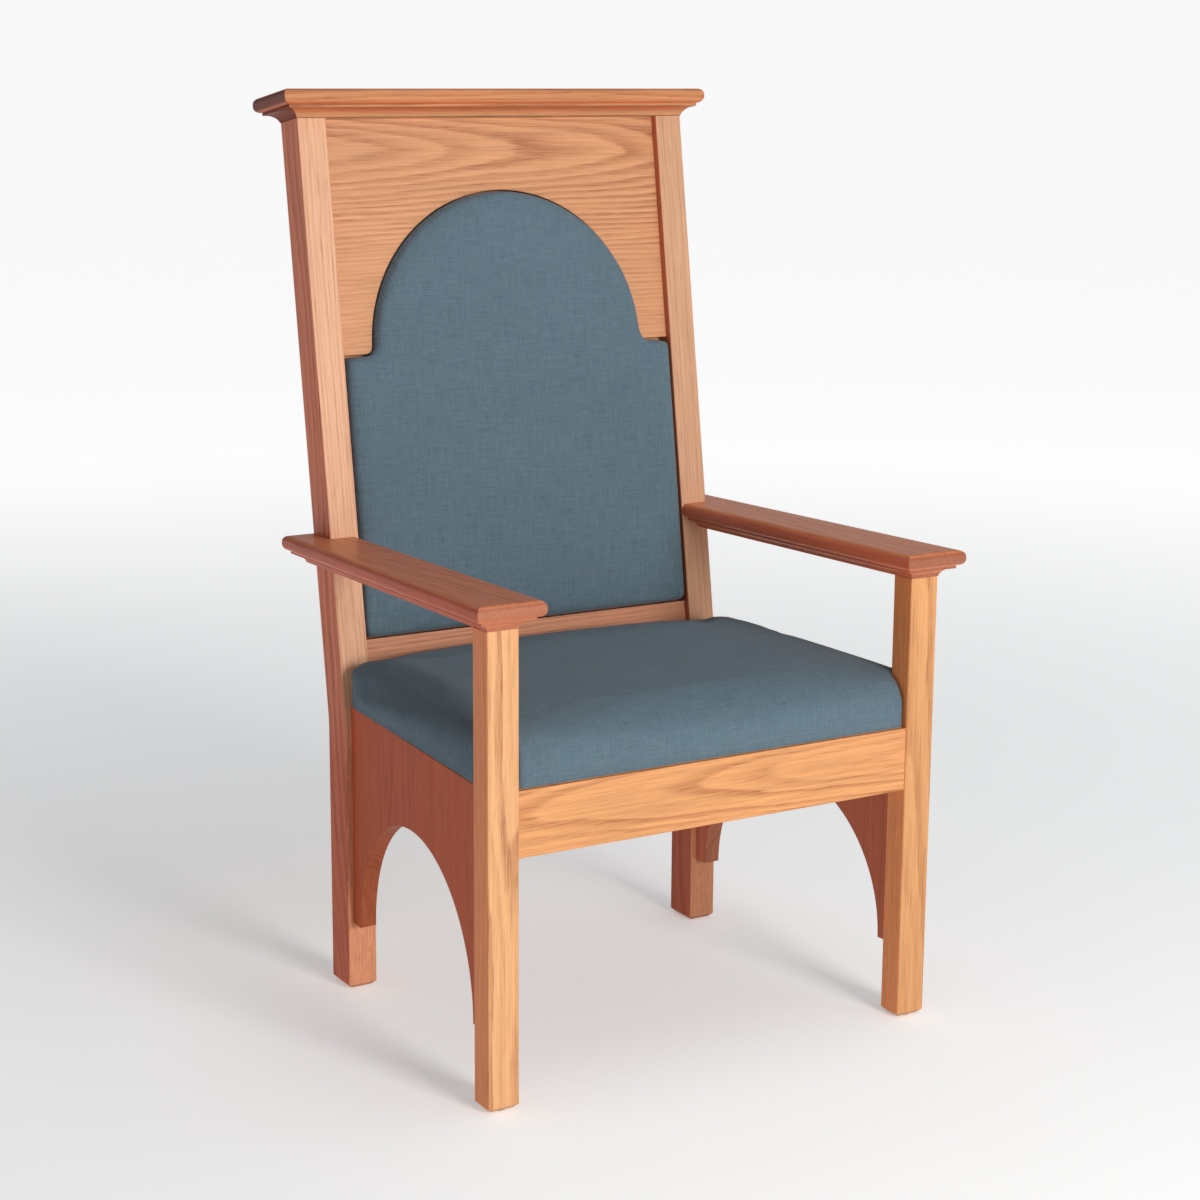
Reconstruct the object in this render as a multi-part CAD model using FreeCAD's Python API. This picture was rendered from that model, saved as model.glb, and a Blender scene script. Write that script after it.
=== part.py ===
import FreeCAD, Part
import math
import os

# High-backed oak chair with arms, a raked arched back and an upholstered seat, in millimetres.
# X runs across the chair, Y from front to back and Z up; left and right are as seen from the front.
# The pieces are laid out from the front faces of the front legs, and the finished chair is then moved
# so that the origin lies on the floor under the middle of its outline.

# Plan of the frame
FRONT_WIDTH = 667.0
REAR_WIDTH = 602.0
LEG_SPACING = 463.0
FRONT_LEG_WIDTH = 43.0
FRONT_LEG_DEPTH = 37.0
POST_WIDTH = 42.0
POST_DEPTH = 54.0

# Heights and slopes of the frame
SEAT_LINE = 405.0
ARM_HEIGHT = 605.0
ARM_SLOPE = 1.3
BEND_BELOW_SEAT = 27.0
POST_BEND_RADIUS = 150.0
RAKE = 8.6
BACK_LENGTH = 812.0
EDGE_EASE = 2.0
FOOT_CHAMFER = 5.0

# Seat rails and their tenons
RAIL_HEIGHT = 85.0
RAIL_THICKNESS = 22.0
RAIL_RECESS = 2.0
TENON_LENGTH = 16.0
TENON_THICKNESS = 10.0
TENON_SHOULDER = 12.0

# Arched side panels
SIDE_PANEL_RECESS = 9.0
SIDE_PANEL_THICKNESS = 24.0
SIDE_FOOT_HEIGHT = 97.0
SIDE_ARCH_CENTRE = 98.5
SIDE_FOOT_WIDTH = 22.0
SIDE_TONGUE_LENGTH = 6.0

# Edge moulding of the arms and the cornice: a rounded nose over a cove
NOSE_THICKNESS = 20.0
NOSE_TOP_RADIUS = 8.0
NOSE_LOW_RADIUS = 8.5
COVE_STEP = 9.0
COVE_FILLET = 4.0
COVE_SAG = 3.5
ARM_OVERHANG = 25.0
ARM_COVE = 15.0
ARM_REAR_OVERHANG = 44.0
ARM_PAST_POST = 12.0
CORNICE_OVERHANG = 26.5
CORNICE_COVE = 16.0

# Arched headboard, back rail and back panel
HEADBOARD_RECESS = 11.0
HEADBOARD_THICKNESS = 19.0
CROWN_MARGIN = 99.0
SHOULDER_WIDTH = 47.0
SHOULDER_DROP = 4.0
BACK_TONGUE_LENGTH = 8.0
TONGUE_THICKNESS = 8.0
TONGUE_STOP = 6.0
ARCH_FILLET = 10.0
BACK_RAIL_HEIGHT = 62.0
BACK_RAIL_OVER_SEAT = 4.0
BACK_PANEL_THICKNESS = 12.0

# Upholstered back pad
PAD_GAP = 1.5
PAD_BOARD_THICKNESS = 12.0
PAD_PROUD = 16.0
PAD_CROWN = 6.0
PAD_ROUND = 7.0
PAD_CORNER = 12.0
PAD_DRAW_IN = 2.0

# Upholstered seat
SEAT_EDGE_HEIGHT = 66.0
SEAT_CROWN = 16.0
SEAT_FRONT_ROUND = 45.0
SEAT_SIDE_ROUND = 26.0
SEAT_CORNER = 22.0
SEAT_DRAW_IN = 3.0
SEAT_OVERHANG = 4.0
SEAT_SHADOW_GAP = 1.0
SEAT_NOTCH_GAP = 2.0
SEAT_REAR_GAP = 1.0
SEAT_BOARD_THICKNESS = 12.0
COVER_THICKNESS = 1.5
DUST_COVER_THICKNESS = 1.0

# Corner blocks, dowels, screws, plugs and glides
BLOCK_LENGTH = 60.0
BLOCK_HEIGHT = 40.0
DOWEL_DIAMETER = 9.5
DOWEL_SPACING = 18.0
DOWEL_BITE = 25.0
DOWEL_ARM_BITE = 18.0
DOWEL_CAP_BITE = 12.0
SCREW_SHANK = 4.0
SCREW_HEAD = 8.0
SCREW_HEAD_HEIGHT = 3.0
SCREW_BITE = 18.0
SEAT_SCREW_BITE = 8.0
SEAT_SCREW_OFFSET = 14.0
BACK_SCREW_LENGTH = 17.0
ARM_SCREW_SINK = 12.0
ARM_SCREW_SPACING = 22.0
PLUG_DIAMETER = 10.0
PLUG_LENGTH = 4.0
BACK_SCREW_MARGIN = 26.0
GLIDE_HEIGHT = 2.0
GLIDE_DIAMETER = 22.0
GLIDE_NAIL_DIAMETER = 3.0
GLIDE_NAIL_LENGTH = 14.0

# Clearances
FIT = 0.2
DOWEL_FIT = 0.1
SOFT_GAP = 0.3
PANEL_GAP = 0.5
DUST_COVER_GAP = 1.0

# Places worked out from the sizes above
LEG_OUTER = FRONT_WIDTH / 2
LEG_INNER = LEG_OUTER - FRONT_LEG_WIDTH
POST_OUTER = REAR_WIDTH / 2
POST_INNER = POST_OUTER - POST_WIDTH
RAIL_BOTTOM = SEAT_LINE - RAIL_HEIGHT
FRONT_RAIL_BACK = RAIL_RECESS + RAIL_THICKNESS
REAR_RAIL_BACK = LEG_SPACING + POST_DEPTH - RAIL_RECESS
REAR_RAIL_FRONT = REAR_RAIL_BACK - RAIL_THICKNESS
HEADBOARD_BACK = HEADBOARD_RECESS + HEADBOARD_THICKNESS
BACK_PANEL_BACK = HEADBOARD_BACK + BACK_PANEL_THICKNESS
BACK_TOP = BACK_LENGTH + CORNICE_COVE
ARCH_RADIUS = POST_INNER - SHOULDER_WIDTH
ARCH_CENTRE = BACK_LENGTH - CROWN_MARGIN - ARCH_RADIUS
HEADBOARD_SHOULDER = ARCH_CENTRE - SHOULDER_DROP
BLOCK_TOP = SEAT_LINE - DUST_COVER_THICKNESS
BLOCK_BOTTOM = BLOCK_TOP - BLOCK_HEIGHT
CUSHION_BOTTOM = SEAT_LINE + SEAT_SHADOW_GAP
CUSHION_FRONT = RAIL_RECESS
CUSHION_BACK = LEG_SPACING - SEAT_REAR_GAP
SEAT_BOARD_INSET = COVER_THICKNESS + SEAT_DRAW_IN + SOFT_GAP
RAKE_SINE = math.sin(math.radians(RAKE))
RAKE_COSINE = math.cos(math.radians(RAKE))
POST_BEND = SEAT_LINE - BEND_BELOW_SEAT
BACK_RAIL_RISE = BEND_BELOW_SEAT + SEAT_BOARD_THICKNESS + BACK_RAIL_OVER_SEAT
BACK_RAIL_BOTTOM = (BACK_RAIL_RISE + BACK_PANEL_BACK * RAKE_SINE) / RAKE_COSINE
BACK_RAIL_TOP = BACK_RAIL_BOTTOM + BACK_RAIL_HEIGHT

ORIGIN = FreeCAD.Vector(0, 0, 0)
ACROSS = FreeCAD.Vector(1, 0, 0)
REARWARD = FreeCAD.Vector(0, 1, 0)
UPWARD = FreeCAD.Vector(0, 0, 1)
FAR = 2000.0


def box(x0, x1, y0, y1, z0, z1):
    return Part.makeBox(x1 - x0, y1 - y0, z1 - z0, FreeCAD.Vector(x0, y0, z0))


def prism(points, along):
    return Part.Face(Part.makePolygon(points + points[:1])).extrude(along)


def line(a, b):
    return Part.LineSegment(a, b).toShape()


def arc(a, b, c):
    return Part.Arc(a, b, c).toShape()


def turn_point(centre, radius, degrees):
    angle = math.radians(degrees)
    return (centre[0] + radius * math.cos(angle), centre[1] + radius * math.sin(angle))


def mirrored(shape):
    return shape.mirror(ORIGIN, ACROSS)


def pair(shape):
    return Part.Compound([shape, mirrored(shape)])


def onto_back(shape):
    """Lean a piece of the back: its X, depth and length from the bend become X, Y and Z."""
    placed = shape.copy()
    placed.rotate(ORIGIN, ACROSS, -RAKE)
    placed.translate(FreeCAD.Vector(0, LEG_SPACING, POST_BEND))
    return placed


def onto_arm(shape):
    """Tip a piece of an arm, drawn with its underside at zero, and lift it onto the front leg."""
    placed = shape.copy()
    placed.rotate(ORIGIN, ACROSS, -ARM_SLOPE)
    placed.translate(FreeCAD.Vector(0, 0, ARM_HEIGHT))
    return placed


def wood_screw(head, along, length, clearance=0.0):
    shank_radius = SCREW_SHANK / 2 + clearance
    cone = Part.makeCone(SCREW_HEAD / 2 + clearance, shank_radius, SCREW_HEAD_HEIGHT, head, along)
    shank = Part.makeCylinder(shank_radius, length + clearance, head, along)
    return cone.fuse(shank)


def side_x(y, inset):
    """X of a line beside the side panel, parallel to the line through the outer faces of leg and post."""
    share = (y - FRONT_LEG_DEPTH) / (LEG_SPACING - FRONT_LEG_DEPTH)
    return LEG_OUTER + share * (POST_OUTER - LEG_OUTER) - inset


def side_slab(inset, thickness, y0, y1, z0, z1):
    plan = [
        FreeCAD.Vector(side_x(y0, inset), y0, z0),
        FreeCAD.Vector(side_x(y1, inset), y1, z0),
        FreeCAD.Vector(side_x(y1, inset + thickness), y1, z0),
        FreeCAD.Vector(side_x(y0, inset + thickness), y0, z0),
    ]
    return prism(plan, UPWARD * (z1 - z0))


# Seat rails

def rail_tenon(inner, y, grow):
    middle = y + RAIL_THICKNESS / 2
    half = TENON_THICKNESS / 2 + grow
    low = RAIL_BOTTOM + TENON_SHOULDER - grow
    high = SEAT_LINE - TENON_SHOULDER + grow
    return box(inner - EDGE_EASE, inner + TENON_LENGTH + grow, middle - half, middle + half, low, high)


def seat_rail(inner, y):
    rail = box(-inner, inner, y, y + RAIL_THICKNESS, RAIL_BOTTOM, SEAT_LINE)
    lower = [edge for edge in rail.Edges
             if abs(edge.CenterOfMass.z - RAIL_BOTTOM) < FIT and edge.Length > inner]
    rail = rail.makeFillet(EDGE_EASE, lower)
    tenon = rail_tenon(inner, y, 0.0)
    return rail.fuse([tenon, mirrored(tenon)]).removeSplitter()


# Arched side panels, tongued into the legs and posts

def side_tongue(y0, y1, grow):
    inset = SIDE_PANEL_RECESS + (SIDE_PANEL_THICKNESS - TONGUE_THICKNESS) / 2 - grow
    low = SIDE_FOOT_HEIGHT + TONGUE_STOP - grow
    high = SEAT_LINE - TONGUE_STOP + grow
    return side_slab(inset, TONGUE_THICKNESS + 2 * grow, y0, y1, low, high)


def front_tongue(grow):
    return side_tongue(FRONT_LEG_DEPTH - SIDE_TONGUE_LENGTH - grow, FRONT_LEG_DEPTH + EDGE_EASE, grow)


def rear_tongue(grow):
    return side_tongue(LEG_SPACING - EDGE_EASE, LEG_SPACING + SIDE_TONGUE_LENGTH + grow, grow)


def side_panel():
    panel = side_slab(SIDE_PANEL_RECESS, SIDE_PANEL_THICKNESS, FRONT_LEG_DEPTH, LEG_SPACING,
                      SIDE_FOOT_HEIGHT, SEAT_LINE)
    middle = (FRONT_LEG_DEPTH + LEG_SPACING) / 2
    radius = (LEG_SPACING - FRONT_LEG_DEPTH) / 2 - SIDE_FOOT_WIDTH
    arch = Part.makeCylinder(radius, FAR, FreeCAD.Vector(0, middle, SIDE_ARCH_CENTRE), ACROSS)
    below = box(0, FAR, middle - radius, middle + radius, 0, SIDE_ARCH_CENTRE)
    panel = panel.fuse([front_tongue(0.0), rear_tongue(0.0)])
    return panel.cut([arch, below]).removeSplitter()


# Arms with a nose and cove all round, notched round the posts

def moulded_wire(low, high, overhang, cove, place):
    """Closed outline of a board with the edge moulding on both sides; low and high bound its underside."""
    run = overhang - COVE_STEP
    rise = cove - COVE_FILLET
    chord = math.hypot(run, rise)
    sag = (run / 2 - COVE_SAG * rise / chord, rise / 2 + COVE_SAG * run / chord)
    low_centre = (overhang - NOSE_LOW_RADIUS, cove + NOSE_LOW_RADIUS)
    top = cove + NOSE_THICKNESS
    top_centre = (overhang - NOSE_TOP_RADIUS, top - NOSE_TOP_RADIUS)
    edges = []
    for start, sign in ((high, 1), (low, -1)):
        def at(point):
            return place(start + sign * point[0], point[1])
        edges += [
            arc(at((0, 0)), at(sag), at((run, rise))),
            line(at((run, rise)), at((run, cove))),
            line(at((run, cove)), at((low_centre[0], cove))),
            arc(at((low_centre[0], cove)), at(turn_point(low_centre, NOSE_LOW_RADIUS, -45)),
                at((overhang, low_centre[1]))),
            line(at((overhang, low_centre[1])), at((overhang, top_centre[1]))),
            arc(at((overhang, top_centre[1])), at(turn_point(top_centre, NOSE_TOP_RADIUS, 45)),
                at((top_centre[0], top))),
        ]
    edges.append(line(place(low - top_centre[0], top), place(high + top_centre[0], top)))
    edges.append(line(place(low, 0), place(high, 0)))
    return Part.Wire(Part.__sortEdges__(edges))


def moulded_bar(low, high, overhang, cove, start, along):
    """Very long bar with the edge moulding on both sides, measured sideways from a line through start."""
    sideways = along.cross(UPWARD)
    near = start - along * (FAR / 2)
    wire = moulded_wire(low, high, overhang, cove, lambda s, h: near + sideways * s + UPWARD * h)
    return Part.Face(wire).extrude(along * FAR)


def arm_back_end():
    """Distance along the arm from the front of the leg to just past the back of the post."""
    up_post = (ARM_HEIGHT - POST_BEND) / RAKE_COSINE
    return LEG_SPACING + up_post * RAKE_SINE + POST_DEPTH * RAKE_COSINE + ARM_PAST_POST


def post_notch():
    """Everything behind the front face of the post and within its outer face."""
    return onto_back(box(0, POST_OUTER, 0, FAR, -FAR, FAR))


def arm_whole():
    """The edges along the arm splay outwards, so each has a moulded bar of its own."""
    bed_back = arm_back_end() - ARM_OVERHANG
    inner = FreeCAD.Vector(POST_INNER + ARM_OVERHANG - LEG_INNER, bed_back, 0).normalize()
    outer = FreeCAD.Vector(POST_OUTER + ARM_REAR_OVERHANG - ARM_OVERHANG - LEG_OUTER, bed_back, 0).normalize()
    ends = moulded_bar(0, bed_back, ARM_OVERHANG, ARM_COVE, ORIGIN, ACROSS * -1)
    inner_edge = moulded_bar(0, FAR / 4, ARM_OVERHANG, ARM_COVE, ACROSS * LEG_INNER, inner)
    outer_edge = moulded_bar(-FAR / 4, 0, ARM_OVERHANG, ARM_COVE, ACROSS * LEG_OUTER, outer)
    return onto_arm(ends.common(inner_edge).common(outer_edge))


def arm_dowels(grow):
    middle = foot_centres()[0] + UPWARD * (ARM_HEIGHT - DOWEL_BITE - grow)
    length = DOWEL_BITE + DOWEL_ARM_BITE + 2 * grow
    pins = []
    for side in (-1, 1):
        foot = middle + REARWARD * (side * DOWEL_SPACING / 2)
        pins.append(Part.makeCylinder(DOWEL_DIAMETER / 2 + grow, length, foot))
    return Part.Compound(pins)


def arm_screws(clearance):
    """Screws driven outwards from the inner face of the post into the strip of arm beside it."""
    height = ARM_COVE + NOSE_THICKNESS / 2
    up_post = (ARM_HEIGHT - POST_BEND) / RAKE_COSINE + height / 2
    length = POST_WIDTH - ARM_SCREW_SINK + SCREW_BITE
    screws = []
    for side in (-1, 1):
        depth = POST_DEPTH / 2 + side * ARM_SCREW_SPACING / 2
        head = FreeCAD.Vector(POST_INNER + ARM_SCREW_SINK, depth, up_post)
        screws.append(wood_screw(head, ACROSS, length, clearance))
        if clearance:
            screws.append(Part.makeCylinder(SCREW_HEAD / 2 + clearance, ARM_SCREW_SINK,
                                            head - ACROSS * ARM_SCREW_SINK, ACROSS))
    return onto_back(Part.Compound(screws))


def arm():
    return arm_whole().cut([post_notch(), arm_dowels(DOWEL_FIT), arm_screws(FIT)])


# Front legs, rear posts and glides

def foot_centres():
    return [
        FreeCAD.Vector((LEG_INNER + LEG_OUTER) / 2, FRONT_LEG_DEPTH / 2, 0),
        FreeCAD.Vector((POST_INNER + POST_OUTER) / 2, LEG_SPACING + POST_DEPTH / 2, 0),
    ]


def glide_nail(centre, grow):
    return Part.makeCylinder(GLIDE_NAIL_DIAMETER / 2 + grow, GLIDE_NAIL_LENGTH + grow,
                             centre + UPWARD * GLIDE_HEIGHT)


def glide(centre):
    disc = Part.makeCylinder(GLIDE_DIAMETER / 2, GLIDE_HEIGHT, centre)
    return disc.fuse(glide_nail(centre, 0.0)).removeSplitter()


def eased_section(x0, x1, y0, y1, height, inset=0.0):
    """Level section of a leg, drawn inwards by an inset, with its four corners eased."""
    reach = inset + EDGE_EASE
    corners = [((x1 - reach, y0 + reach), -90), ((x1 - reach, y1 - reach), 0),
               ((x0 + reach, y1 - reach), 90), ((x0 + reach, y0 + reach), 180)]

    def at(corner, degrees):
        centre, start = corner
        x, y = turn_point(centre, EDGE_EASE, start + degrees)
        return FreeCAD.Vector(x, y, height)
    edges = []
    for corner, following in zip(corners, corners[1:] + corners[:1]):
        edges.append(arc(at(corner, 0), at(corner, 45), at(corner, 90)))
        edges.append(line(at(corner, 90), at(following, 0)))
    return Part.Wire(edges)


def footed_leg(x0, x1, y0, y1, top):
    """Upright leg with a chamfer all round its foot."""
    foot = eased_section(x0, x1, y0, y1, GLIDE_HEIGHT, FOOT_CHAMFER)
    ankle = eased_section(x0, x1, y0, y1, GLIDE_HEIGHT + FOOT_CHAMFER)
    return Part.makeLoft([foot, ankle, eased_section(x0, x1, y0, y1, top)], True, True)


def front_leg():
    leg = footed_leg(LEG_INNER, LEG_OUTER, 0, FRONT_LEG_DEPTH, ARM_HEIGHT + ARM_OVERHANG)
    above = onto_arm(box(0, FAR, -FAR, FAR, 0, FAR))
    cuts = [above, rail_tenon(LEG_INNER, RAIL_RECESS, FIT), front_tongue(FIT), arm_dowels(DOWEL_FIT),
            glide_nail(foot_centres()[0], FIT), block_screw(front_block_plan(), FIT)]
    return leg.cut(cuts)


def rear_post():
    """Upright below the bend, leaning back above it, and as deep all along."""
    front_radius = POST_BEND_RADIUS + POST_DEPTH
    tangent = front_radius * math.tan(math.radians(RAKE / 2))
    rear = LEG_SPACING + POST_DEPTH
    low = POST_BEND - tangent
    lower = footed_leg(POST_INNER, POST_OUTER, LEG_SPACING, rear, low)
    section = Part.Face(eased_section(POST_INNER, POST_OUTER, LEG_SPACING, rear, low))
    bend = section.revolve(FreeCAD.Vector(0, rear + POST_BEND_RADIUS, low), ACROSS * -1, RAKE)
    section = Part.Face(eased_section(POST_INNER, POST_OUTER, 0, POST_DEPTH, tangent))
    upper = onto_back(section.extrude(UPWARD * (BACK_TOP - tangent)))
    cuts = [rail_tenon(POST_INNER, REAR_RAIL_FRONT, FIT), rear_tongue(FIT), arm_screws(FIT),
            cap_dowels(DOWEL_FIT), headboard_tongue(FIT), back_rail_tongue(FIT),
            glide_nail(foot_centres()[1], FIT), block_screw(rear_block_plan(), FIT)]
    return lower.fuse([bend, upper]).removeSplitter().cut(cuts)


# Corner blocks inside the seat frame

def inner_face(y):
    return side_x(y, SIDE_PANEL_RECESS + SIDE_PANEL_THICKNESS)


def front_block_plan():
    end = FRONT_LEG_DEPTH + BLOCK_LENGTH
    return [(LEG_INNER, FRONT_LEG_DEPTH), (inner_face(FRONT_LEG_DEPTH), FRONT_LEG_DEPTH),
            (inner_face(end), end), (LEG_INNER - BLOCK_LENGTH, FRONT_RAIL_BACK), (LEG_INNER, FRONT_RAIL_BACK)]


def rear_block_plan():
    end = LEG_SPACING - BLOCK_LENGTH
    return [(POST_INNER, LEG_SPACING), (inner_face(LEG_SPACING), LEG_SPACING), (inner_face(end), end),
            (POST_INNER - BLOCK_LENGTH, REAR_RAIL_FRONT), (POST_INNER, REAR_RAIL_FRONT)]


def block_screw(plan, clearance):
    """Screw through the long face of a block, square to it, into the corner of the leg or post."""
    height = (BLOCK_TOP + BLOCK_BOTTOM) / 2
    corner, start, end = [FreeCAD.Vector(plan[i][0], plan[i][1], height) for i in (0, 2, 3)]
    head = (start + end) / 2
    along = (end - start).cross(UPWARD).normalize()
    if along.dot(corner - head) < 0:
        along = along * -1
    return wood_screw(head, along, (corner - head).dot(along) + SCREW_BITE, clearance)


def seat_screw(plan, clearance):
    start, end = [FreeCAD.Vector(plan[i][0], plan[i][1], BLOCK_BOTTOM) for i in (2, 3)]
    corner = FreeCAD.Vector(plan[0][0], plan[0][1], BLOCK_BOTTOM)
    head = (start + end + corner) / 3 + (end - start).normalize() * SEAT_SCREW_OFFSET
    length = BLOCK_HEIGHT + DUST_COVER_THICKNESS + SEAT_SCREW_BITE
    return wood_screw(head, UPWARD, length, clearance)


def corner_block(plan):
    points = [FreeCAD.Vector(x, y, BLOCK_BOTTOM) for x, y in plan]
    block = prism(points, UPWARD * BLOCK_HEIGHT)
    return block.cut([block_screw(plan, FIT), seat_screw(plan, FIT)])


# Headboard, back rail and back panel, drawn upright in the frame of the back

def arch_wire(inset, bottom, corner):
    """Outline of the arched opening, drawn inwards by an inset, with its four outer corners rounded."""
    radius = ARCH_RADIUS - inset
    shoulder = HEADBOARD_SHOULDER - inset
    side = POST_INNER - inset
    fillet = ARCH_FILLET + inset
    rise = shoulder + fillet - ARCH_CENTRE
    reach = math.sqrt((radius + fillet) ** 2 - rise ** 2)
    spring = math.degrees(math.atan2(rise, reach))
    centre = (0, ARCH_CENTRE)
    edges = []
    for sign in (1, -1):
        def at(point):
            return FreeCAD.Vector(sign * point[0], 0, point[1])
        hollow = (reach, ARCH_CENTRE + rise)
        foot = (reach, shoulder)
        start = turn_point(centre, radius, spring)
        low = (side - corner, bottom + corner)
        high = (side - corner, shoulder - corner)
        edges += [
            arc(at((low[0], bottom)), at(turn_point(low, corner, -45)), at((side, low[1]))),
            line(at((side, low[1])), at((side, high[1]))),
            arc(at((side, high[1])), at(turn_point(high, corner, 45)), at((high[0], shoulder))),
            line(at((high[0], shoulder)), at(foot)),
            arc(at(foot), at(turn_point(hollow, fillet, 225 + spring / 2)), at(start)),
            arc(at(start), at(turn_point(centre, radius, 45 + spring / 2)), at((0, ARCH_CENTRE + radius))),
        ]
    edges.append(line(FreeCAD.Vector(corner - side, 0, bottom), FreeCAD.Vector(side - corner, 0, bottom)))
    return Part.Wire(Part.__sortEdges__(edges))


def pad_wire(inset):
    gap = PAD_GAP + inset
    return arch_wire(gap, BACK_RAIL_TOP + gap, PAD_CORNER - inset)


def back_board(low, high):
    return box(-POST_INNER, POST_INNER, HEADBOARD_RECESS, HEADBOARD_BACK, low, high)


def back_tongue(low, high, grow):
    middle = (HEADBOARD_RECESS + HEADBOARD_BACK) / 2
    half = TONGUE_THICKNESS / 2 + grow
    return box(POST_INNER - EDGE_EASE, POST_INNER + BACK_TONGUE_LENGTH + grow, middle - half, middle + half,
               low - grow, high + grow)


def headboard_tongue(grow):
    return onto_back(back_tongue(HEADBOARD_SHOULDER + TONGUE_STOP, BACK_LENGTH - TONGUE_STOP, grow))


def back_rail_tongue(grow):
    return onto_back(back_tongue(BACK_RAIL_BOTTOM + TONGUE_STOP, BACK_RAIL_TOP - TONGUE_STOP, grow))


def headboard():
    opening = Part.Face(arch_wire(0.0, BACK_RAIL_TOP, EDGE_EASE)).extrude(REARWARD * FAR)
    tongue = headboard_tongue(0.0)
    board = onto_back(back_board(HEADBOARD_SHOULDER, BACK_TOP).cut(opening))
    board = board.fuse([tongue, mirrored(tongue)]).removeSplitter()
    return board.cut(back_screws(headboard_screw_places(), FIT))


def back_rail():
    tongue = back_rail_tongue(0.0)
    rail = onto_back(back_board(BACK_RAIL_BOTTOM, BACK_RAIL_TOP))
    rail = rail.fuse([tongue, mirrored(tongue)]).removeSplitter()
    return rail.cut(back_screws(rail_screw_places(), FIT))


def headboard_screw_places():
    side = POST_INNER - BACK_SCREW_MARGIN
    low = HEADBOARD_SHOULDER + BACK_SCREW_MARGIN
    high = BACK_LENGTH - BACK_SCREW_MARGIN
    return [(-side, low), (side, low), (-side, high), (0, high), (side, high)]


def rail_screw_places():
    side = POST_INNER - BACK_SCREW_MARGIN
    height = (BACK_RAIL_TOP + BACK_RAIL_BOTTOM) / 2
    return [(-side, height), (0, height), (side, height)]


def pad_screw_places():
    side = POST_INNER / 2
    low = BACK_RAIL_TOP + 2 * BACK_SCREW_MARGIN
    high = HEADBOARD_SHOULDER
    return [(x, height) for height in (low, (low + high) / 2, high) for x in (-side, side)]


def every_back_screw_place():
    return headboard_screw_places() + rail_screw_places() + pad_screw_places()


def back_screws(places, clearance):
    """Screws driven forwards from behind, with their heads sunk under plugs."""
    depth = BACK_PANEL_BACK - PLUG_LENGTH
    screws = [wood_screw(FreeCAD.Vector(x, depth, height), REARWARD * -1, BACK_SCREW_LENGTH, clearance)
              for x, height in places]
    return onto_back(Part.Compound(screws))


def back_plugs(grow):
    plugs = [Part.makeCylinder(PLUG_DIAMETER / 2 + grow, PLUG_LENGTH,
                               FreeCAD.Vector(x, BACK_PANEL_BACK - PLUG_LENGTH, height), REARWARD)
             for x, height in every_back_screw_place()]
    return onto_back(Part.Compound(plugs))


def back_panel():
    half = POST_INNER - PANEL_GAP
    panel = onto_back(box(-half, half, HEADBOARD_BACK, BACK_PANEL_BACK, BACK_RAIL_BOTTOM, BACK_TOP))
    return panel.cut([back_screws(every_back_screw_place(), FIT), back_plugs(DOWEL_FIT)])


# Cornice: a nosed cap on mitred coves, doweled to the posts

def cornice_whole():
    foot = UPWARD * BACK_LENGTH
    ends = moulded_bar(-POST_OUTER, POST_OUTER, CORNICE_OVERHANG, CORNICE_COVE, foot, REARWARD)
    edges = moulded_bar(0, POST_DEPTH, CORNICE_OVERHANG, CORNICE_COVE, foot, ACROSS * -1)
    return ends.common(edges)


def cornice_cap():
    cap = cornice_whole().common(box(-FAR, FAR, -FAR, FAR, BACK_TOP, FAR))
    dowels = cap_dowels(DOWEL_FIT)
    return onto_back(cap).cut([dowels, mirrored(dowels)])


def cornice_cove(corners):
    """One mitred length of cove; its plan is bounded by the mitres through the given corners."""
    ring = cornice_whole().common(box(-FAR, FAR, -FAR, FAR, 0, BACK_TOP))
    ring = ring.cut(box(-POST_OUTER, POST_OUTER, 0, POST_DEPTH, 0, FAR))
    plan = [FreeCAD.Vector(x, y, BACK_LENGTH) for x, y in corners]
    return onto_back(ring.common(prism(plan, UPWARD * CORNICE_COVE)))


def cornice_coves():
    side = POST_OUTER
    back = POST_DEPTH
    far_side = side + CORNICE_OVERHANG
    far_front = -CORNICE_OVERHANG
    far_back = back + CORNICE_OVERHANG
    return {
        "front": cornice_cove([(-far_side, far_front), (far_side, far_front), (side, 0), (-side, 0)]),
        "rear": cornice_cove([(-far_side, far_back), (far_side, far_back), (side, back), (-side, back)]),
        "left": cornice_cove([(-far_side, far_front), (-side, 0), (-side, back), (-far_side, far_back)]),
        "right": cornice_cove([(far_side, far_front), (side, 0), (side, back), (far_side, far_back)]),
    }


def cornice_strips():
    """Strips between the posts that carry the front and rear coves across the recesses."""
    half = POST_INNER - PANEL_GAP
    front = box(-half, half, 0, HEADBOARD_RECESS, BACK_LENGTH, BACK_TOP)
    rear = box(-half, half, BACK_PANEL_BACK, POST_DEPTH, BACK_LENGTH, BACK_TOP)
    return onto_back(Part.Compound([front, rear]))


def cap_dowels(grow):
    across = (POST_INNER + POST_OUTER) / 2
    length = DOWEL_BITE + DOWEL_CAP_BITE + 2 * grow
    pins = []
    for side in (-1, 1):
        depth = POST_DEPTH / 2 + side * DOWEL_SPACING / 2
        foot = FreeCAD.Vector(across, depth, BACK_TOP - DOWEL_BITE - grow)
        pins.append(Part.makeCylinder(DOWEL_DIAMETER / 2 + grow, length, foot))
    return onto_back(Part.Compound(pins))


# Back pad: board, foam and cover that fill the arch

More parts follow.
